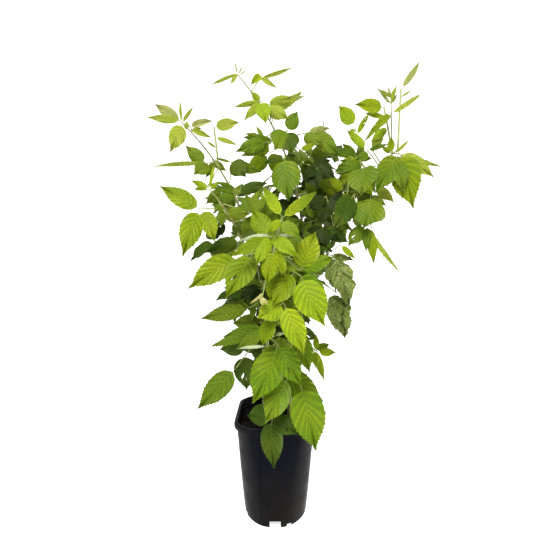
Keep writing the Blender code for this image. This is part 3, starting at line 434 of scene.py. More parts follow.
# %% [markdown]
# ## A leaflet
# A raspberry leaflet is pleated like a fan: its side veins lie in valleys, the blade swells between
# them, and each vein ends in a tooth. A flat grid with a row of corners along each vein gives that
# at a low cost. Solidify gives the grid an underside. Some large leaflets have been eaten by an
# insect: a few faces are deleted on both sides, and the rims bridged. Each pattern is made once.
# Each leaflet then bends a copy of its corners, all at once, in an array.

# %% The leaflet's pattern
VEINS = 11
ROWS_A_VEIN = 4
HOLE = 0.04                 # half a hole's length, where the grid is 2 long
MAP_MIDDLES = (0.25, 0.75)  # where the rib of the upper side and of the underside lie on the map
MAP_REACH = 0.245


def pierce(bm, across, u, v):
    """Cuts a small hole through both sides of the grid and walls its rim."""
    bitten = []
    for face in bm.faces:
        middle = face.calc_center_median()
        beside, along = abs(middle.x - u) < 0.5 / across, abs(middle.y + 1 - 2 * v) < HOLE
        if abs(face.normal.z) > 0.5 and beside and along:
            bitten.append(face)
    rims = [edge for edge in {edge for face in bitten for edge in face.edges}
            if sum(face in bitten for face in edge.link_faces) == 1]
    bmesh.ops.delete(bm, geom=bitten, context="FACES")
    bmesh.ops.bridge_loops(bm, edges=rims)


def leaflet_pattern(across, holes=()):
    """Corners as u (across, -1 to 1), v (along, 0 to 1) and side, with faces and their finishes."""
    bm = bmesh.new()
    bmesh.ops.create_grid(bm, x_segments=2 * across, y_segments=VEINS * ROWS_A_VEIN, size=1.0)
    bmesh.ops.solidify(bm, geom=bm.faces[:], thickness=0.5)
    for u, v in holes:
        pierce(bm, across, u, v)
    bm.normal_update()
    bmesh.ops.recalc_face_normals(bm, faces=bm.faces[:])
    bm.verts.index_update()
    corners = np.array([corner.co[:] for corner in bm.verts])
    top = corners[:, 2].max()
    u, v = corners[:, 0], (corners[:, 1] + 1) / 2
    upper = corners[:, 2] > top - 0.01
    faces = np.array([[corner.index for corner in face.verts] for face in bm.faces])
    is_top = np.array([face.normal.z > 0.5 for face in bm.faces])
    bm.free()
    uv = np.stack([np.where(is_top[:, None], *MAP_MIDDLES) + u[faces] * MAP_REACH, v[faces]], axis=-1)
    return {"u": u, "v": v, "upper": upper, "faces": faces, "uv": uv, "finish": (~is_top).astype(int)}


LEAFLET = leaflet_pattern(3)
SMALL_LEAFLET = leaflet_pattern(2)
BITTEN_LEAFLET = leaflet_pattern(3, ((0.5, 0.38), (-0.17, 0.61)))
print("leaflet of", len(LEAFLET["faces"]), "faces, small one of", len(SMALL_LEAFLET["faces"]))

# %% [markdown]
# The outline comes from one sine with a drawn-out tip. The relief adds the pleats, a slow ripple at
# the margin, a fold along the rib and a bend along the blade, all by a share of the length, so small
# and large leaflets look alike. The bend follows a curve of growing angle, as a drooping blade does.

# %% The leaflet's outline and relief
TOOTH = 0.013
BREADTH = 1.03
PLEAT = 0.0068
BLADE = 0.00035             # a blade's thickness, in metres
SMALL = 0.03                # a blade shorter than this leans less to one side


def half_width(share):
    """Round shoulders and a drawn-out tip."""
    share = np.clip(share, 0.0, 1.0)
    late = np.clip((share - 0.5) / 0.5, 0.0, 1.0)
    body = np.sin(np.pi * share ** 0.70) ** (0.74 + 0.62 * late * late * (3 - 2 * late))
    return np.maximum(body, 0.012)


def crumple(x, y, dice):
    """How far a shrivelled blade's corners stray from its plane, in shares of its length."""
    wander = dice.uniform(0, 6, 4)
    return 0.030 * (np.sin(19 * y + wander[0]) * np.cos(17 * x + wander[1])
                    + np.sin(33 * y + 21 * x + wander[2]) * 0.6
                    + np.cos(47 * y - 29 * x + wander[3]) * 0.4)


def leaflet_corners(pattern, length, width, bend, fold, arch, dice, crumpled=0.0):
    """The corners of one leaflet along +Y, with its face to +Z, in metres."""
    u, v = pattern["u"], pattern["v"]
    reach = np.abs(u)
    sweep = min(0.42, 0.80 * width + 0.06)
    edge = v + sweep * np.sin(np.pi * v ** 0.85) * (1 - 0.25 * v)
    share = v + (edge - v) * reach ** 1.1
    spread = half_width(edge) * width * BREADTH * 0.5
    row = np.round(v * VEINS * ROWS_A_VEIN).astype(int)
    big, small, notch = row % 4 == 0, row % 4 == 2, row % 2 == 1
    uneven = dice.uniform(0.75, 1.25, (VEINS * ROWS_A_VEIN + 1, 2))[row, (u > 0).astype(int)]
    fade = np.clip(np.minimum(v * 6, (1 - v) * 7), 0, 1)
    tooth = (TOOTH * (big * 1.0 + small * 0.45 - notch * 0.35)) * uneven * fade * (reach > 0.99)
    x = np.sign(u) * (reach * spread + tooth)
    y = share + tooth * 1.2
    wave = np.cos(2 * np.pi * v * VEINS)
    pleat = -PLEAT * wave * np.sin(np.pi * np.clip(reach * 0.78 + 0.06, 0, 1)) * fade
    ripple = dice.uniform(0.006, 0.020) * np.sin(dice.uniform(5, 9) * v * np.pi + dice.uniform(0, 6)
                                                 + np.sign(u) * dice.uniform(0.3, 1.2)) * reach ** 2
    z = fold * np.abs(x) - arch * x ** 2 / max(width, 0.1) + pleat + ripple * fade
    if crumpled:
        z = z + crumpled * crumple(x, y, dice)
        x = x + crumpled * crumple(y, x, dice) * 0.7
    z = z - np.where(pattern["upper"], 0.0, BLADE / length)
    lean = dice.uniform(-0.10, 0.10)
    x = x + lean * share ** 2 * (1 if length > SMALL else 0.3)
    turn = bend * share ** 1.4
    curve = np.linspace(0, 1.12, 60)
    angle = bend * curve ** 1.4
    run = np.concatenate([[0], np.cumsum(np.cos(angle[:-1]) * np.diff(curve))])
    drop = np.concatenate([[0], np.cumsum(np.sin(angle[:-1]) * np.diff(curve))])
    along = np.interp(y, curve, run) + z * np.sin(turn)
    height = -np.interp(y, curve, drop) + z * np.cos(turn)
    return np.stack([x, along, height], axis=1) * length


# %% [markdown]
# ## Stalks
# Leaf stalks and shoot stems are thin tubes. One tube of eight rings is the pattern, and each stalk
# bends its rings along its own curve.

# %% The stalk's pattern
STALK_SIDES = 6
STALK_RINGS = 8


def stalk_pattern():
    bm = bmesh.new()
    bmesh.ops.create_cone(bm, cap_ends=True, segments=STALK_SIDES, radius1=1, radius2=1, depth=1)
    walls = [edge for edge in bm.edges if abs(edge.verts[0].co.z - edge.verts[1].co.z) > 0.5]
    bmesh.ops.subdivide_edges(bm, edges=walls, cuts=STALK_RINGS - 2, use_grid_fill=False)
    bmesh.ops.triangulate(bm, faces=[face for face in bm.faces if len(face.verts) > 4])
    bmesh.ops.recalc_face_normals(bm, faces=bm.faces[:])
    corners = np.array([corner.co[:] for corner in bm.verts])
    faces = [[corner.index for corner in face.verts] for face in bm.faces]
    bm.free()
    return {"flat": corners[:, :2], "along": corners[:, 2] + 0.5, "faces": faces}


STALK = stalk_pattern()
print("stalk of", len(STALK["faces"]), "faces")


def stalk_corners(points, root_radius, tip_radius):
    """The pattern's rings laid along a smooth curve through the points."""
    points = [np.array(point[:]) for point in points]
    places = np.linspace(0, len(points) - 1, STALK_RINGS)
    spine = np.array([smooth_point(points, place) for place in places])
    ahead = np.gradient(spine, axis=0)
    ahead /= np.linalg.norm(ahead, axis=1)[:, None] + 1e-12
    side = np.cross(ahead, (0.13, 0.31, 0.94))
    side /= np.linalg.norm(side, axis=1)[:, None] + 1e-12
    over = np.cross(ahead, side)
    ring = np.round(STALK["along"] * (STALK_RINGS - 1)).astype(int)
    radius = root_radius + (tip_radius - root_radius) * STALK["along"]
    flat = STALK["flat"]
    return spine[ring] + radius[:, None] * (flat[:, :1] * side[ring] + flat[:, 1:] * over[ring])


def smooth_point(points, place):
    """A point on the rounded path through the points, which passes each of them."""
    low = min(int(place), len(points) - 2)
    t = place - low
    before, start = points[max(low - 1, 0)], points[low]
    end, after = points[low + 1], points[min(low + 2, len(points) - 1)]
    return 0.5 * (2 * start + (end - before) * t + (2 * before - 5 * start + 4 * end - after) * t ** 2
                  + (3 * start - before - 3 * end + after) * t ** 3)


# %% [markdown]
# ## Sheaves
# Thousands of separate objects would be slow to draw. The leaflets of one cane and tone are gathered
# in a sheaf, and each sheaf becomes one mesh.

# %% Gathering and joining
class Sheaf:
    def __init__(self):
        self.corners, self.faces, self.uv, self.finish = [], [], [], []
        self.count = 0

    def add(self, corners, faces, uv, finish):
        self.corners.append(corners)
        self.faces += [[index + self.count for index in face] for face in faces]
        self.uv.append(uv)
        self.finish += list(finish)
        self.count += len(corners)


def join_sheaf(name, sheaf, finishes, nodes):
    mesh = bpy.data.meshes.new(name)
    mesh.from_pydata(np.concatenate(sheaf.corners).tolist(), [], sheaf.faces)
    layer = mesh.uv_layers.new(name="OFBake")
    layer.data.foreach_set("uv", np.concatenate(sheaf.uv).reshape(-1).astype(np.float32))
    for finish in finishes:
        mesh.materials.append(finish)
    mesh.polygons.foreach_set("material_index", sheaf.finish)
    mesh.shade_smooth()
    mesh.set_sharp_from_angle(angle=math.radians(70))
    return place_piece(name, mesh, nodes)


def place_piece(name, mesh, nodes):
    piece = bpy.data.objects.new(name, mesh)
    bpy.context.scene.collection.objects.link(piece)
    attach(piece, "root")
    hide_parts(*nodes)
    return piece


# %% [markdown]
# ## Leaf finishes
# A leaf's upper side is dark green to lime with paler veins, and its underside is a dull, downy
# grey-green. The veins follow the leaflet's own map, where they are straight lines, so a few maths
# nodes draw them. Shade is painted into the colour too: darker in the valleys beside the veins and
# lighter on the swells between, and a near-black tone for leaves inside the crown. A slow noise turns
# some leaves yellower and some darker.

# %% The leaf finishes
class Wiring:
    """Short names for adding and joining the nodes of one finish."""

    def __init__(self, name, roughness):
        self.material = bpy.data.materials.new(name)
        self.material.use_nodes = True
        self.tree = self.material.node_tree
        self.shader = self.tree.nodes["Principled BSDF"]
        self.shader.inputs["Roughness"].default_value = roughness
        self.place = self.tree.nodes.new("ShaderNodeTexCoord").outputs["Object"]

    def node(self, kind, **settings):
        made = self.tree.nodes.new(kind)
        for key, value in settings.items():
            setattr(made, key, value)
        return made

    def feed(self, socket, value):
        if isinstance(value, bpy.types.NodeSocket):
            self.tree.links.new(value, socket)
        else:
            socket.default_value = value

    def maths(self, operation, *values):
        made = self.node("ShaderNodeMath", operation=operation)
        for socket, value in zip(made.inputs, values):
            self.feed(socket, value)
        return made.outputs[0]

    def ramp(self, value, low, high, start=0.0, end=1.0):
        made = self.node("ShaderNodeMapRange", interpolation_type="SMOOTHSTEP")
        for socket, number in zip(made.inputs, (value, low, high, start, end)):
            self.feed(socket, number)
        return made.outputs[0]

    def noise(self, scale, detail=2.0, source=None):
        made = self.node("ShaderNodeTexNoise")
        self.feed(made.inputs["Vector"], source or self.place)
        made.inputs["Scale"].default_value = scale
        made.inputs["Detail"].default_value = detail
        return made.outputs["Fac"]

    def mix(self, share, first, second, way="MIX"):
        made = self.node("ShaderNodeMix", data_type="RGBA", blend_type=way)
        self.feed(made.inputs[0], share)
        for socket, colour in ((made.inputs[6], first), (made.inputs[7], second)):
            self.feed(socket, (*colour, 1) if isinstance(colour, tuple) else colour)
        return made.outputs[2]

    def shaded(self, colour, shade):
        """The colour made lighter or darker by a number."""
        grey = self.node("ShaderNodeCombineColor")
        for socket in grey.inputs:
            self.feed(socket, shade)
        return self.mix(1.0, colour, grey.outputs[0], "MULTIPLY")

    def relief(self, height, distance, strength=1.0, under=None):
        made = self.node("ShaderNodeBump")
        made.inputs["Distance"].default_value = distance
        made.inputs["Strength"].default_value = strength
        self.feed(made.inputs["Height"], height)
        if under is not None:
            self.tree.links.new(under, made.inputs["Normal"])
        return made.outputs["Normal"]

    def colour(self, value):
        self.feed(self.shader.inputs["Base Color"], value)

    def normal(self, value):
        self.feed(self.shader.inputs["Normal"], value)


CURLED_SHARE = 0.42         # how far a shrivelled leaf's blotches and veins go to the vein's colour


def leaf_finish(name, leaf, warm, vein, middle, roughness, vein_share):
    """middle is where the rib lies on the leaflet's map."""
    w = Wiring(name, roughness)
    chart = w.node("ShaderNodeUVMap", uv_map="OFBake").outputs["UV"]
    parts = w.node("ShaderNodeSeparateXYZ")
    w.feed(parts.inputs[0], chart)
    beside = w.maths("ABSOLUTE", w.maths("SUBTRACT", parts.outputs["X"], middle))
    across = w.maths("MULTIPLY", beside, 4.0)
    along = w.maths("MULTIPLY", parts.outputs["Y"], float(VEINS))
    off_vein = w.maths("PINGPONG", along, 0.5)
    side_vein = w.ramp(off_vein, 0.02, 0.10, 1.0, 0.0)
    rib = w.ramp(across, 0.02, 0.07, 1.0, 0.0)
    veins = w.maths("MAXIMUM", rib, side_vein)
    # Painted shade in the valleys beside the side veins, and painted light on the swells between them.
    painted_pleat_shade = w.ramp(off_vein, 0.06, 0.42, 0.78, 1.09)
    drift = w.ramp(w.noise(16.0, 1.0), 0.38, 0.66)
    fleck = w.ramp(w.noise(260.0, 3.0), 0.30, 0.72, 0.84, 1.12)
    blade = w.shaded(w.mix(drift, leaf, warm), w.maths("MULTIPLY", painted_pleat_shade, fleck))
    paler = veins
    if name.startswith("curled"):
        paler = w.maths("MAXIMUM", veins, w.ramp(w.noise(300.0, 3.0), 0.52, 0.68))
        vein_share = CURLED_SHARE
    w.colour(w.mix(w.maths("MULTIPLY", paler, vein_share), blade, vein))
    net = w.relief(w.noise(700.0, 2.0), 0.0003, 0.5)
    w.normal(w.relief(veins, 0.0006, 0.8, net))
    w.shader.inputs["Specular IOR Level"].default_value = 0.08
    return w.material


LEAF_COLOURS = {            # leaf, its warmer drift, veins
    "lime": ((0.165, 0.240, 0.004), (0.215, 0.280, 0.006), (0.290, 0.370, 0.030)),
    "leaf": ((0.122, 0.180, 0.002), (0.170, 0.218, 0.003), (0.220, 0.290, 0.020)),
    "fresh": ((0.088, 0.158, 0.003), (0.122, 0.184, 0.005), (0.170, 0.250, 0.026)),
    "pale": ((0.225, 0.250, 0.060), (0.260, 0.270, 0.075), (0.330, 0.350, 0.120)),
    "silver": ((0.380, 0.440, 0.250), (0.420, 0.470, 0.290), (0.480, 0.540, 0.360)),
    "olive": ((0.195, 0.245, 0.018), (0.245, 0.280, 0.030), (0.320, 0.370, 0.060)),
    "green": ((0.078, 0.132, 0.004), (0.112, 0.155, 0.006), (0.165, 0.230, 0.030)),
    "dark": ((0.029, 0.058, 0.002), (0.050, 0.078, 0.003), (0.090, 0.135, 0.018)),
    # The near-black tone below is painted shade, for leaves far inside the crown.
    "deep": ((0.013, 0.025, 0.002), (0.020, 0.034, 0.002), (0.040, 0.062, 0.010)),
    "curled": ((0.085, 0.125, 0.014), (0.130, 0.160, 0.030), (0.400, 0.450, 0.200)),
    "dry": ((0.380, 0.365, 0.120), (0.400, 0.330, 0.130), (0.460, 0.430, 0.200)),
}
UNDER_COLOURS = {           # the same for the underside
    "lime": ((0.33, 0.45, 0.11), (0.40, 0.50, 0.15), (0.52, 0.62, 0.28)),
    "leaf": ((0.28, 0.39, 0.10), (0.34, 0.44, 0.13), (0.46, 0.56, 0.26)),
    "fresh": ((0.24, 0.37, 0.11), (0.30, 0.42, 0.14), (0.44, 0.55, 0.25)),
    "pale": ((0.44, 0.48, 0.22), (0.50, 0.53, 0.26), (0.60, 0.63, 0.36)),
    "silver": ((0.44, 0.50, 0.30), (0.48, 0.53, 0.34), (0.56, 0.62, 0.42)),
    "olive": ((0.30, 0.36, 0.12), (0.35, 0.40, 0.15), (0.46, 0.52, 0.26)),
    "green": ((0.20, 0.28, 0.08), (0.25, 0.32, 0.11), (0.38, 0.45, 0.22)),
    "dark": ((0.11, 0.16, 0.055), (0.14, 0.20, 0.07), (0.25, 0.31, 0.15)),
    # The near-black tone below is painted shade, as above.
    "deep": ((0.05, 0.075, 0.025), (0.06, 0.09, 0.03), (0.11, 0.14, 0.06)),
    "curled": ((0.20, 0.27, 0.09), (0.24, 0.29, 0.11), (0.46, 0.52, 0.26)),
    "dry": ((0.60, 0.50, 0.30), (0.56, 0.42, 0.28), (0.70, 0.62, 0.42)),
}
LEAF_FINISHES = {
    tone: (leaf_finish(f"{tone}_leaf", *LEAF_COLOURS[tone], MAP_MIDDLES[0], 0.50, 0.25),
           leaf_finish(f"{tone}_leaf_underside", *UNDER_COLOURS[tone], MAP_MIDDLES[1], 0.75, 0.50))
    for tone in LEAF_COLOURS
}
print("leaf finishes", sorted(LEAF_FINISHES))


# %% [markdown]
# ## Growing the shoots
# Each shoot is grown by the rule that made its solid: a stem that leaves the cane squarely and sags
# a little, leaves set back along its end, and leaflets that turn their faces to the light. Where the
# solid has only its largest leaves, the finer shoot also has small leaves nearer its cane.

# %% Stems and leaves
STEM_ROOT, STEM_TIP = 0.0015, 0.0010
STEM_SIZES = {"right_tall": (0.0027, 0.0019), "right_second": (0.0024, 0.0017),
              "left_upper": (0.0023, 0.0016)}
PLAIN_HABIT = (0.10, 0.50, 0.10, 0.40)      # least and most bend, then least and most fold
leaves_by_kind = {}
stems_by_cane = {name: Sheaf() for name in CANES}
LEAF_STALK = 0.07           # a leaflet's own stalk, as a share of its length
LARGE_LEAFLET = 0.055       # longer than this it has the finer pattern
BITTEN_EVERY = 11           # about one large leaflet in this many has been eaten


def add_stalk(cane, points, root_radius, tip_radius):
    sheaf = stems_by_cane[cane]
    corners = stalk_corners(points, root_radius, tip_radius)
    loops = sum(len(face) for face in STALK["faces"])
    sheaf.add(corners, STALK["faces"], np.zeros((loops, 2)), [0] * len(STALK["faces"]))


def add_leaflet(cane, tone, root, way, up, length, width, bend, fold, dice):
    """A stalk and a blade from the root along way, with the blade's face to up."""
    kind = leaves_by_kind.setdefault((cane, tone), Sheaf())
    pattern = SMALL_LEAFLET
    if length > LARGE_LEAFLET:
        pattern = BITTEN_LEAFLET if len(kind.corners) % BITTEN_EVERY == 4 else LEAFLET
    base = root + way * (length * LEAF_STALK)
    add_stalk(cane, [root, base, base + way * length * 0.05], 0.0007, 0.0004)
    arch = dice.uniform(0.2, 1.1)
    corners = leaflet_corners(pattern, length * (1 - LEAF_STALK), width / (1 - LEAF_STALK),
                              bend, fold, arch, dice, 1.0 if tone == "curled" else 0.0)
    side = way.cross(up)
    axes = np.array([side[:], way[:], up[:]])
    corners = corners @ axes + np.array(base[:])
    kind.add(corners, pattern["faces"].tolist(), pattern["uv"].reshape(-1, 2), pattern["finish"])


def chord(bend):
    """How far a bent blade's tip drops below its first direction, and how near it comes."""
    angle = bend * np.linspace(0, 1, 40) ** 1.4
    ahead, down = np.cos(angle).mean(), np.sin(angle).mean()
    return math.atan2(down, ahead), math.hypot(ahead, down)


def add_leaf(cane, tone, root, leaf, rng, dice, habit=PLAIN_HABIT, inner=False):
    """One compound leaf: an end leaflet and pairs beside it."""
    main, length, leaflets, width = leaf
    normal = facing(main, root, inner)
    rachis = main * (RACHIS[leaflets] * length)
    if leaflets > 1:
        add_stalk(cane, [root, root + rachis * 0.5, root + rachis], 0.0009, 0.0007)
    for index, (angle, place) in enumerate(FANS[leaflets]):
        size = length * (1.0 if index == 0 else (0.90 - 0.04 * (index // 2)) * rng.uniform(0.92, 1.04))
        lean = angle + (rng.uniform(-9, 9) if index else 0)
        bend, fold = rng.uniform(*habit[:2]), rng.uniform(*habit[2:])
        roll = rng.uniform(-16, 16)
        way = Matrix.Rotation(math.radians(lean), 3, normal) @ main
        way = (way - Vector((0, 0, 0.10 if index else 0.0))).normalized()
        up = Matrix.Rotation(math.radians(roll), 3, way) @ facing(way, root, inner)
        drop, nearer = chord(bend)
        lift = Matrix.Rotation(drop, 3, way.cross(up))
        add_leaflet(cane, tone, root + rachis * place, lift @ way, lift @ up, size / nearer,
                    width * nearer, bend, fold, dice)


def leave_cane(cane, along, way, length):
    """Where a stem starts in its cane, and the knee from which it runs straight on."""
    at_tip = along >= 1.0
    rib = (cane_point(cane, min(along + 0.01, 1.01)) - cane_point(cane, along - 0.01)).normalized()
    off = rib if at_tip else (way - way.dot(rib) * rib).normalized()
    start = cane_point(cane, along)
    return start, start + off * (min(0.003, length * 0.3) + (0 if at_tip else cane_radius(along)))


def stem_along(cane, along, way, length):
    start, knee = leave_cane(cane, along, way, length)
    sag = Vector((0, 0, -0.06 * length))
    return [start, knee, knee + way * length * 0.5 - sag * 0.5, knee + way * length + sag * 0.2]


def stem_to(cane, along, end):
    """The stem from its cane to this end. Its knee is set anew until it faces the end."""
    knee = cane_point(cane, along)
    for _ in range(6):
        start, knee = leave_cane(cane, along, (end - knee).normalized(), (end - knee).length)
    sag = Vector((0, 0, 0.03 * (end - knee).length))
    return [start, knee, (knee + end) / 2 + sag, end]


def set_back(points, distance):
    """The place on a stem that lies this far back from its end."""
    for ahead, behind in zip(points[::-1], points[-2::-1]):
        stretch = (behind - ahead).length
        if distance < stretch:
            return ahead.lerp(behind, distance / stretch)
        distance -= stretch
    return points[1].copy()


HABITS = {                  # shoots whose leaves bend and fold more: least and most of each
    "left_tip_side": (0.5, 0.9, 0.5, 0.8),
    "centre_upper": (0.8, 1.3, 0.5, 0.9),
    "centre_left": (0.5, 0.8, 0.3, 0.5),
    "right_arch": (0.9, 1.3, 0.6, 0.9),
    "right_hanging": (0.2, 0.5, 0.5, 0.9),
    "right_curled": (0.2, 0.6, 0.5, 0.9),
}


def tone_of(tones, number):
    words = tones.split()
    return words[min(number, len(words) - 1)]


def grow_front_shoot(row):
    name, cane, along, end, step_mm, tones, seed, leaves = row
    rng, dice = random.Random(seed), np.random.default_rng(seed)
    points = stem_to(cane, along, seen(*end))
    add_stalk(cane, points, *STEM_SIZES.get(name, (STEM_ROOT, STEM_TIP)))
    habit = HABITS.get(name, PLAIN_HABIT)
    for number, (*tip, width) in enumerate(leaves):
        root = set_back(points, step_mm / 1000 * number)
        line = seen(*tip) - root
        leaf = (line.normalized(), line.length, 1, width)
        add_leaf(cane, tone_of(tones, number), root, leaf, rng, dice, habit)


def grow_back_shoot(row):
    _, cane, along, heading, rise, length_mm, step_mm, tones, seed, leaves = row
    rng, dice = random.Random(seed), np.random.default_rng(seed)
    points = stem_along(cane, along, towards(heading, rise), length_mm / 1000)
    add_stalk(cane, points, STEM_ROOT, STEM_TIP)
    for number, (leaf_heading, leaf_rise, leaf_mm, leaflets, width) in enumerate(leaves):
        root = set_back(points, step_mm / 1000 * number)
        leaf = (towards(leaf_heading, leaf_rise), leaf_mm / 1000, leaflets, width)
        add_leaf(cane, tone_of(tones, number), root, leaf, rng, dice)


for row in FRONT_SHOOTS + FINE_SHOOTS:
    grow_front_shoot(row)
for row in BACK_SHOOTS:
    grow_back_shoot(row)
print("leaf sheaves", len(leaves_by_kind))

# %% [markdown]
# Between the shoots each cane also bears plain leaves of three or five leaflets, which wind round it
# from joint to joint. They fill the crown's inside. A leaf that would hang out past the crown's
# sides is left off, so the sky shows where the crown is open.

# %% The leaves along the canes
CROWN = (                   # height, and how far the crown's inside reaches to left, right and front
    (0.21, -0.045, 0.050, -0.10), (0.28, -0.070, 0.050, -0.12), (0.32, -0.090, 0.048, -0.14),
    (0.37, -0.090, 0.052, -0.15), (0.41, -0.095, 0.070, -0.15), (0.46, -0.085, 0.090, -0.14),
    (0.50, -0.070, 0.110, -0.12), (0.56, -0.065, 0.150, -0.10), (0.60, -0.080, 0.170, -0.08),
    (0.64, -0.100, 0.215, -0.06), (0.70, -0.104, 0.215, -0.05), (0.76, -0.082, 0.170, -0.04),
    (0.80, -0.060, 0.060, -0.04))
CROWN_TOP = 0.79
SKIRT_OF_CROWN = 0.42       # lower than this the leaves behind keep to the crown's sides too
# Painted shade: low on each cane, and on the canes behind, the leaves take darker tones than higher up.
CANE_LEAVES = {             # first and last height along the cane, leaves, tones from low to high
    "left_cane": (0.30, 0.62, 8, ("dark", "green")),
    "left_front_cane": (0.22, 0.80, 9, ("dark", "green")),
    "centre_cane": (0.20, 0.84, 27, ("dark", "dark", "dark", "green", "leaf")),
    "right_cane": (0.20, 0.92, 27, ("dark", "dark", "dark", "green", "leaf")),
    "front_cane": (0.14, 0.80, 14, ("dark", "green", "green")),
    "back_cane": (0.20, 0.95, 18, ("dark", "dark")),
    "back_left_cane": (0.20, 0.95, 11, ("dark", "green")),
}
GOLDEN_TURN = 137.5         # degrees from one leaf to the next round a cane
CANE_LEAF_TRIES = 8         # and as many headings are tried before a leaf is left off
RETRY_TURN = 47


def in_crown(place):
    heights, *reaches = zip(*CROWN)
    left, right, front = (float(np.interp(place.z, heights, reach)) for reach in reaches)
    nearer = (place.y - EYE.y) / -EYE.y
    return left * nearer < place.x < right * nearer and place.z < CROWN_TOP and place.y > front


def grow_cane_leaves(cane, low, high, count, tones):
    rng, dice = random.Random(cane), np.random.default_rng(len(cane))
    behind = cane.startswith("back")
    for number in range(count):
        along = low + (high - low) * number / (count - 1)
        tone = tones[min(int(len(tones) * number / count), len(tones) - 1)]
        for attempt in range(CANE_LEAF_TRIES):
            heading = number * GOLDEN_TURN + attempt * RETRY_TURN
            length = rng.uniform(0.030, 0.060)
            blade = rng.uniform(54, 78)
            points = stem_along(cane, along, towards(heading, rng.uniform(-5, 30)), length)
            tip = points[-1] + towards(heading, -25) * blade / 1000 * 1.1
            if (behind and points[-1].z > SKIRT_OF_CROWN) or in_crown(tip):
                break
        else:
            continue
        add_stalk(cane, points, 0.0011, 0.0008)
        leaf = (towards(heading, rng.uniform(-50, -10)), blade / 1000, rng.choice((3, 3, 5)),
                rng.uniform(0.44, 0.60))
        add_leaf(cane, tone, points[-1], leaf, rng, dice, inner=number % 2 == 1)


for cane, (low, high, count, tones) in CANE_LEAVES.items():
    grow_cane_leaves(cane, low, high, count, tones)
print("leaflets", sum(len(sheaf.corners) for sheaf in leaves_by_kind.values()))

# %% [markdown]
# ## Bark
# A raspberry cane is green going brown, smooth, and dotted with fine prickles.

# %% The bark and stalk finishes
def bark_finish():
    w = Wiring("cane_bark", 0.55)
    drift = w.ramp(w.noise(22.0, 3.0), 0.35, 0.65)
    streak = w.ramp(w.noise(420.0, 3.0), 0.35, 0.7, 0.8, 1.1)
    w.colour(w.shaded(w.mix(drift, (0.15, 0.19, 0.040), (0.18, 0.15, 0.055)), streak))
    w.normal(w.relief(w.noise(500.0, 3.0), 0.0004, 0.7))
    return w.material


def stalk_finish():
    w = Wiring("leaf_stalk", 0.5)
    w.colour(w.mix(w.ramp(w.noise(30.0), 0.35, 0.65), (0.19, 0.26, 0.045), (0.25, 0.25, 0.070)))
    w.normal(w.relief(w.noise(800.0), 0.0002, 0.5))
    return w.material


BARK, STALK_GREEN = bark_finish(), stalk_finish()
print("finishes", BARK.name, "and", STALK_GREEN.name)

# %% [markdown]
# ## The canes
# A curve with a bevel would also make a cane, but not its swollen joints. So a ring of edges is
# extruded along the arc, turned to face along it and scaled by the cane's radius there. Its ends are
# filled, and the prickles are tiny cones set into the bark.

# %% The canes
CANE_SIDES = 10
CANE_RINGS = 90
FOOT_FLARE = 1.25           # how much wider a cane is at its foot
JOINT_EVERY, JOINT_SWELL = 8, 0.10
PRICKLES = 46


def next_ring(bm, edges):
    """Extrudes a ring of edges, and gives the new ring's corners and edges."""
    grown = bmesh.ops.extrude_edge_only(bm, edges=edges)["geom"]
    fresh = [item for item in grown if isinstance(item, bmesh.types.BMVert)]
    return fresh, [item for item in grown if isinstance(item, bmesh.types.BMEdge)
                   and all(corner in fresh for corner in item.verts)]


def grow_cane(name):
    dice = random.Random(name)
    bm = bmesh.new()
    start = bmesh.ops.create_circle(bm, cap_ends=False, segments=CANE_SIDES, radius=1.0)["verts"]
    rest = [corner.co.copy() for corner in start]
    ring, edges = start, list(bm.edges)
    bottom = list(edges)

    def seat(corners, along, radius):
        ahead = cane_point(name, along + 0.005) - cane_point(name, along - 0.005)
        if along < 0.01:
            ahead = Vector((0, 0, 1))
        turn = ahead.to_track_quat("Z", "Y")
        for corner, flat in zip(corners, rest):
            corner.co = cane_point(name, along) + turn @ (flat * radius)

    seat(ring, 0.0, CANE_FOOT * FOOT_FLARE)
    for step in range(1, CANE_RINGS + 1):
        along = step / CANE_RINGS
        fresh, edges = next_ring(bm, edges)
        near = {tuple(round(v, 7) for v in corner.co): corner for corner in fresh}
        ring = [near[tuple(round(v, 7) for v in corner.co)] for corner in ring]
        joint = JOINT_SWELL if step % JOINT_EVERY == 0 else 0.0
        seat(ring, along, cane_radius(along) * (1 + joint + dice.uniform(-0.03, 0.03)))
    bmesh.ops.contextual_create(bm, geom=bottom)
    bmesh.ops.contextual_create(bm, geom=edges)
    for _ in range(PRICKLES):
        along = dice.uniform(0.02, 0.97)
        around = dice.uniform(0, math.tau)
        out = Vector((math.cos(around), math.sin(around), 0.15)).normalized()
        place = cane_point(name, along) + out * (cane_radius(along) + 0.0006)
        matrix = Matrix.Translation(place) @ out.to_track_quat("Z", "Y").to_matrix().to_4x4()
        bmesh.ops.create_cone(bm, cap_ends=True, segments=4, radius1=0.0005, radius2=0.0001,
                              depth=0.0018, matrix=matrix)
    bmesh.ops.recalc_face_normals(bm, faces=bm.faces)
    mesh = mesh_from(bm, name + "_bark")
    mesh.materials.append(BARK)
    mesh.shade_smooth()
    mesh.set_sharp_from_angle(angle=math.radians(50))
    return place_piece(name + "_bark", mesh, [name])


for name in CANES:
    cane_piece = grow_cane(name)
print("last cane", len(cane_piece.data.polygons), "faces")

# %% [markdown]
# ## Joining the sheaves
# Each cane's leaves of one tone become one piece, and its stems and stalks another. Each piece takes
# the place of the solids that its leaves belong to.

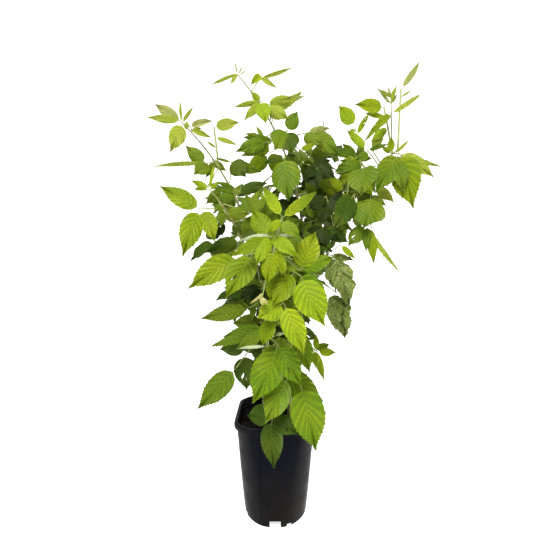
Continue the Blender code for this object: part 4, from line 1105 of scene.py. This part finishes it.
# %% Joining the sheaves
triangles = 0
NODES = {cane: {} for cane in CANES}        # the shoots that have a solid, and their leaves' tones
for row in FRONT_SHOOTS + BACK_SHOOTS:
    NODES[row[1]][row[0]] = {tone_of(row[-3], number) for number in range(len(row[-1]))}
for (cane, tone), sheaf in sorted(leaves_by_kind.items()):
    nodes = [name for name, tones in NODES[cane].items() if tone in tones]
    piece = join_sheaf(f"{cane}_{tone}_leaves", sheaf, LEAF_FINISHES[tone],
                       nodes or list(NODES[cane]))
    triangles += 2 * len(piece.data.polygons)
for cane, sheaf in stems_by_cane.items():
    join_sheaf(f"{cane}_stalks", sheaf, [STALK_GREEN], list(NODES[cane]))
print("leaves have about", triangles, "triangles")

# %% [markdown]
# ## The pot
# The pot is moulded in one piece of black plastic: square with round corners at its rim and round at
# its foot. A ring of edges is extruded from row to row and shaped at each, from the middle of the
# floor out, up the outside, over the rim and down the inside. The drainage slots, the nicks between
# them and the groove down the front are then cut by boxes, as a Boolean keeps their edges crisp.

# %% The pot's numbers
POT_HEIGHT = 0.210
POT_WALL = 0.0018
RIM_HALF, RIM_CORNER, RIM_DEPTH = 0.0855, 0.1010, 0.012
NECK_HALF, NECK_CORNER = 0.0798, 0.0950
FOOT_RADIUS = 0.0680
SKIRT = 0.0175
POT_SIDES = 128
UNDER_RIM = POT_HEIGHT - RIM_DEPTH
FLOOR_PAD = 0.019           # radius of the floor's middle, which is pressed down to the ground
UNDERSIDE = 0.0022          # the skirt's thickness
WALL_STEPS, INNER_STEPS = 15, 10
SLOT, NICK = (0.0225, 0.0140), (0.0110, 0.0060)     # widths and heights
SLOT_TURN, NICK_TURN = -90.5, -65.5
GROOVE_AT = -0.030
GROOVE_LOW, GROOVE_HIGH = 0.024, UNDER_RIM - 0.004
GROOVE_HALF, GROOVE_DEPTH = 0.0013, 0.0009


def wall_at(height, inset=0.0):
    up = height / UNDER_RIM
    flat = FOOT_RADIUS + (NECK_HALF - FOOT_RADIUS) * up
    corner = FOOT_RADIUS + (NECK_CORNER - FOOT_RADIUS) * up
    return flat - inset, corner - inset, height


def shape_ring(corners, flat, corner_reach, height):
    """Squares a ring of corners: a circle cut by four flats, its crossings eased."""
    for step, corner in enumerate(corners):
        angle = math.tau * (step + 0.5) / len(corners)
        side = flat / max(abs(math.cos(angle)), abs(math.sin(angle)))
        eased = -0.0022 * math.log(math.exp(-side / 0.0022) + math.exp(-corner_reach / 0.0022))
        reach = min(max(eased, min(side, corner_reach) - 0.0008), side, corner_reach)
        corner.co = Vector((reach * math.cos(angle), reach * math.sin(angle), height))


def rim_at(inset, height):
    return RIM_HALF - inset, RIM_CORNER - inset, height


def neck_at(inset, height):
    return NECK_HALF - inset, NECK_CORNER - inset, height


def round_the_axis(corner):
    return math.atan2(corner.co.y, corner.co.x) % math.tau


def draw_rows(bm, rows, sides):
    """A closed skin: a ring is extruded through the rows, and its two ends are filled."""
    ring = bmesh.ops.create_circle(bm, cap_ends=False, segments=sides, radius=1.0)["verts"]
    ring.sort(key=round_the_axis)
    edges = [edge for edge in bm.edges if all(corner in ring for corner in edge.verts)]
    shape_ring(ring, *rows[0])
    bottom = list(edges)
    for row in rows[1:]:
        fresh, edges = next_ring(bm, edges)
        fresh.sort(key=round_the_axis)
        shape_ring(fresh, *row)
    bmesh.ops.contextual_create(bm, geom=bottom)
    bmesh.ops.contextual_create(bm, geom=edges)
    bmesh.ops.recalc_face_normals(bm, faces=bm.faces)


def pot_rows():
    """Half the width across the flats, half across the corners, and the height of each row."""
    rows = [(FLOOR_PAD, FLOOR_PAD, 0.0), (0.0205, 0.0205, SKIRT)]
    rows += [wall_at(height, inset) for height, inset in (
        (SKIRT, UNDERSIDE), (0.0006, UNDERSIDE), (0.0, 0.0016), (0.0, 0.0006))]
    rows += [wall_at(0.0006 + (UNDER_RIM - 0.0012) * step / (WALL_STEPS - 1))
             for step in range(WALL_STEPS)]
    rows += [neck_at(-0.003, UNDER_RIM)]
    rows += [rim_at(inset, height) for inset, height in (
        (0.0010, UNDER_RIM), (0.0006, UNDER_RIM + 0.0008), (0.0, POT_HEIGHT - 0.0024),
        (0.0003, POT_HEIGHT - 0.0010), (0.0010, POT_HEIGHT - 0.0002), (0.0018, POT_HEIGHT))]
    rows += [neck_at(0.0004, POT_HEIGHT), neck_at(0.0012, POT_HEIGHT - 0.0008)]
    rows += [wall_at(UNDER_RIM, POT_WALL)]
    rows += [wall_at(0.0193 + (UNDER_RIM - 0.021) * (INNER_STEPS - 1 - step) / INNER_STEPS, POT_WALL)
             for step in range(INNER_STEPS)]
    rows += [(0.0187, 0.0187, 0.0193), (0.0172, 0.0172, POT_WALL)]
    return rows


def cut_away(piece, name, corners):
    """Cuts a box out of a piece. The box is placed in the piece's own metres and then removed."""
    bm = bmesh.new()
    bmesh.ops.create_cube(bm, size=1.0)
    for corner, place in zip(sorted(bm.verts, key=lambda v: (v.co.z, v.co.y, v.co.x)), corners):
        corner.co = place
    box = bpy.data.objects.new(name, mesh_from(bm, name))
    bpy.context.scene.collection.objects.link(box)
    step = piece.modifiers.new(name, "BOOLEAN")
    step.operation, step.solver, step.object = "DIFFERENCE", "EXACT", box
    bpy.context.view_layer.update()
    cut = bpy.data.meshes.new_from_object(piece.evaluated_get(bpy.context.evaluated_depsgraph_get()))
    piece.modifiers.clear()
    piece.data = cut
    bpy.data.objects.remove(box)


def slot_corners(turn, width, height):
    spin = Matrix.Rotation(math.radians(turn), 3, "Z")
    return [spin @ Vector((x, y, z)) for z in (-height, height)
            for y in (-width / 2, width / 2) for x in (FOOT_RADIUS - 0.007, FOOT_RADIUS + 0.007)]


def mould_pot():
    bm = bmesh.new()
    draw_rows(bm, pot_rows(), POT_SIDES)
    pot = place_piece("moulded_pot", mesh_from(bm, "moulded_pot"), ["pot"])
    for turn in range(0, 360, 90):
        cut_away(pot, "slot", slot_corners(turn + SLOT_TURN, *SLOT))
        cut_away(pot, "nick", slot_corners(turn + NICK_TURN, *NICK))
    groove = [(GROOVE_AT + x, -wall_at(z)[0] + depth, z) for z in (GROOVE_LOW, GROOVE_HIGH)
              for depth in (-0.010, GROOVE_DEPTH) for x in (-GROOVE_HALF, GROOVE_HALF)]
    cut_away(pot, "groove", [Vector(corner) for corner in groove])
    pot.data.shade_smooth()
    pot.data.set_sharp_from_angle(angle=math.radians(38))
    return pot


def pot_finish():
    """Black plastic with dust and fine scuffs, darker and warmer towards the foot; painted darker and
    bluer in the middle of the front and back above, and painted near black in the groove as shade.
    """
    w = Wiring("black_plastic", 0.40)
    parts = w.node("ShaderNodeSeparateXYZ")
    w.feed(parts.inputs[0], w.place)
    # Darker and warmer towards the foot.
    low = w.ramp(parts.outputs["Z"], 0.13, 0.04)
    dust = w.ramp(w.noise(9.0, 4.0), 0.40, 0.72)
    scuff = w.ramp(w.noise(90.0, 6.0), 0.58, 0.70)
    # Painted light: above, the middle of the front and back is painted darker and bluer than the sides,
    # so the sides read as catching sheen.
    high = w.ramp(parts.outputs["Z"], 0.09, 0.15)
    middle = w.ramp(w.maths("ABSOLUTE", parts.outputs["X"]), 0.060, 0.020)
    plastic = w.mix(low, (0.0034, 0.0032, 0.0040), (0.0024, 0.0020, 0.0022))
    plastic = w.mix(w.maths("MULTIPLY", high, middle), plastic, (0.0006, 0.0014, 0.0050))
    plastic = w.mix(w.maths("MULTIPLY", dust, 0.10), plastic, (0.022, 0.015, 0.011))
    # Painted shade: the groove down the front is painted near black, as its walls would shade it.
    beside = w.maths("ABSOLUTE", w.maths("SUBTRACT", parts.outputs["X"], GROOVE_AT))
    in_front = w.ramp(parts.outputs["Y"], 0.0, -0.03)
    painted_groove_shade = w.maths("MULTIPLY", w.ramp(beside, 0.0024, 0.0010), in_front)
    plastic = w.mix(w.maths("MULTIPLY", painted_groove_shade, 0.85), plastic, (0.0004, 0.0004, 0.0004))
    w.colour(w.mix(w.maths("MULTIPLY", scuff, 0.06), plastic, (0.030, 0.030, 0.030)))
    w.feed(w.shader.inputs["Roughness"], w.ramp(w.noise(35.0, 3.0), 0.3, 0.7, 0.34, 0.50))
    w.shader.inputs["Specular IOR Level"].default_value = 0.038
    w.normal(w.relief(w.noise(500.0, 2.0), 0.0002, 0.25))
    return w.material


pot = mould_pot()
pot.data.materials.clear()
pot.data.materials.append(pot_finish())
print("pot", len(pot.data.polygons), "faces")

# %% [markdown]
# ## The growing mix
# Dark, crumbly peat and bark lie a finger's width under the rim. The top is a ring of edges drawn
# inward and roughened, with crumbs on it.

# %% The mix
MIX_SIDES, MIX_RINGS = 72, 22
MIX_INSET = 0.0024          # from the pot's outside, which leaves it just clear of the wall
MIX_FOOT, MIX_EDGE = 0.150, 0.186
CRUMBS = 420


def crumb_finish():
    w = Wiring("growing_mix", 0.95)
    grain = w.ramp(w.noise(160.0, 5.0), 0.35, 0.7)
    speck = w.ramp(w.noise(420.0, 3.0), 0.60, 0.68)
    soil = w.mix(grain, (0.0016, 0.0011, 0.0010), (0.008, 0.0048, 0.0034))
    w.colour(w.mix(w.maths("MULTIPLY", speck, 0.3), soil, (0.028, 0.018, 0.012)))
    w.shader.inputs["Specular IOR Level"].default_value = 0.1
    w.normal(w.relief(w.noise(300.0, 5.0), 0.002, 0.9))
    return w.material


def fill_mix():
    dice = random.Random(5)
    bm = bmesh.new()
    rows = [wall_at(MIX_FOOT, MIX_INSET), wall_at(MIX_EDGE, MIX_INSET)]
    flat, corner, _ = wall_at(MIX_TOP, MIX_INSET)
    for step in range(1, MIX_RINGS):
        share = 1 - step / MIX_RINGS
        rows.append((flat * share, corner * share, MIX_TOP))
    draw_rows(bm, rows, MIX_SIDES)
    for corner in bm.verts:
        if corner.co.z > MIX_EDGE + 0.001:
            corner.co.z += dice.uniform(-0.0022, 0.0016)
            corner.co.x += dice.uniform(-0.0006, 0.0006)
    for _ in range(CRUMBS):
        reach, angle = 0.070 * math.sqrt(dice.random()), dice.uniform(0, math.tau)
        size = dice.uniform(0.0012, 0.0034)
        place = Vector((reach * math.cos(angle), reach * math.sin(angle), MIX_TOP + size * 0.2))
        turn = Matrix.Rotation(dice.uniform(0, math.tau), 4, "X")
        turn = turn @ Matrix.Rotation(dice.uniform(0, 3), 4, "Z")
        stretch = Matrix.Diagonal((size * dice.uniform(0.8, 2.0), size, size * 0.7, 1))
        bmesh.ops.create_icosphere(bm, subdivisions=1, radius=1.0,
                                   matrix=Matrix.Translation(place) @ turn @ stretch)
    bmesh.ops.recalc_face_normals(bm, faces=bm.faces)
    mesh = mesh_from(bm, "crumbly_mix")
    mesh.materials.append(crumb_finish())
    return place_piece("crumbly_mix", mesh, ["growing_mix"])


mix = fill_mix()
print("mix", len(mix.data.polygons), "faces")
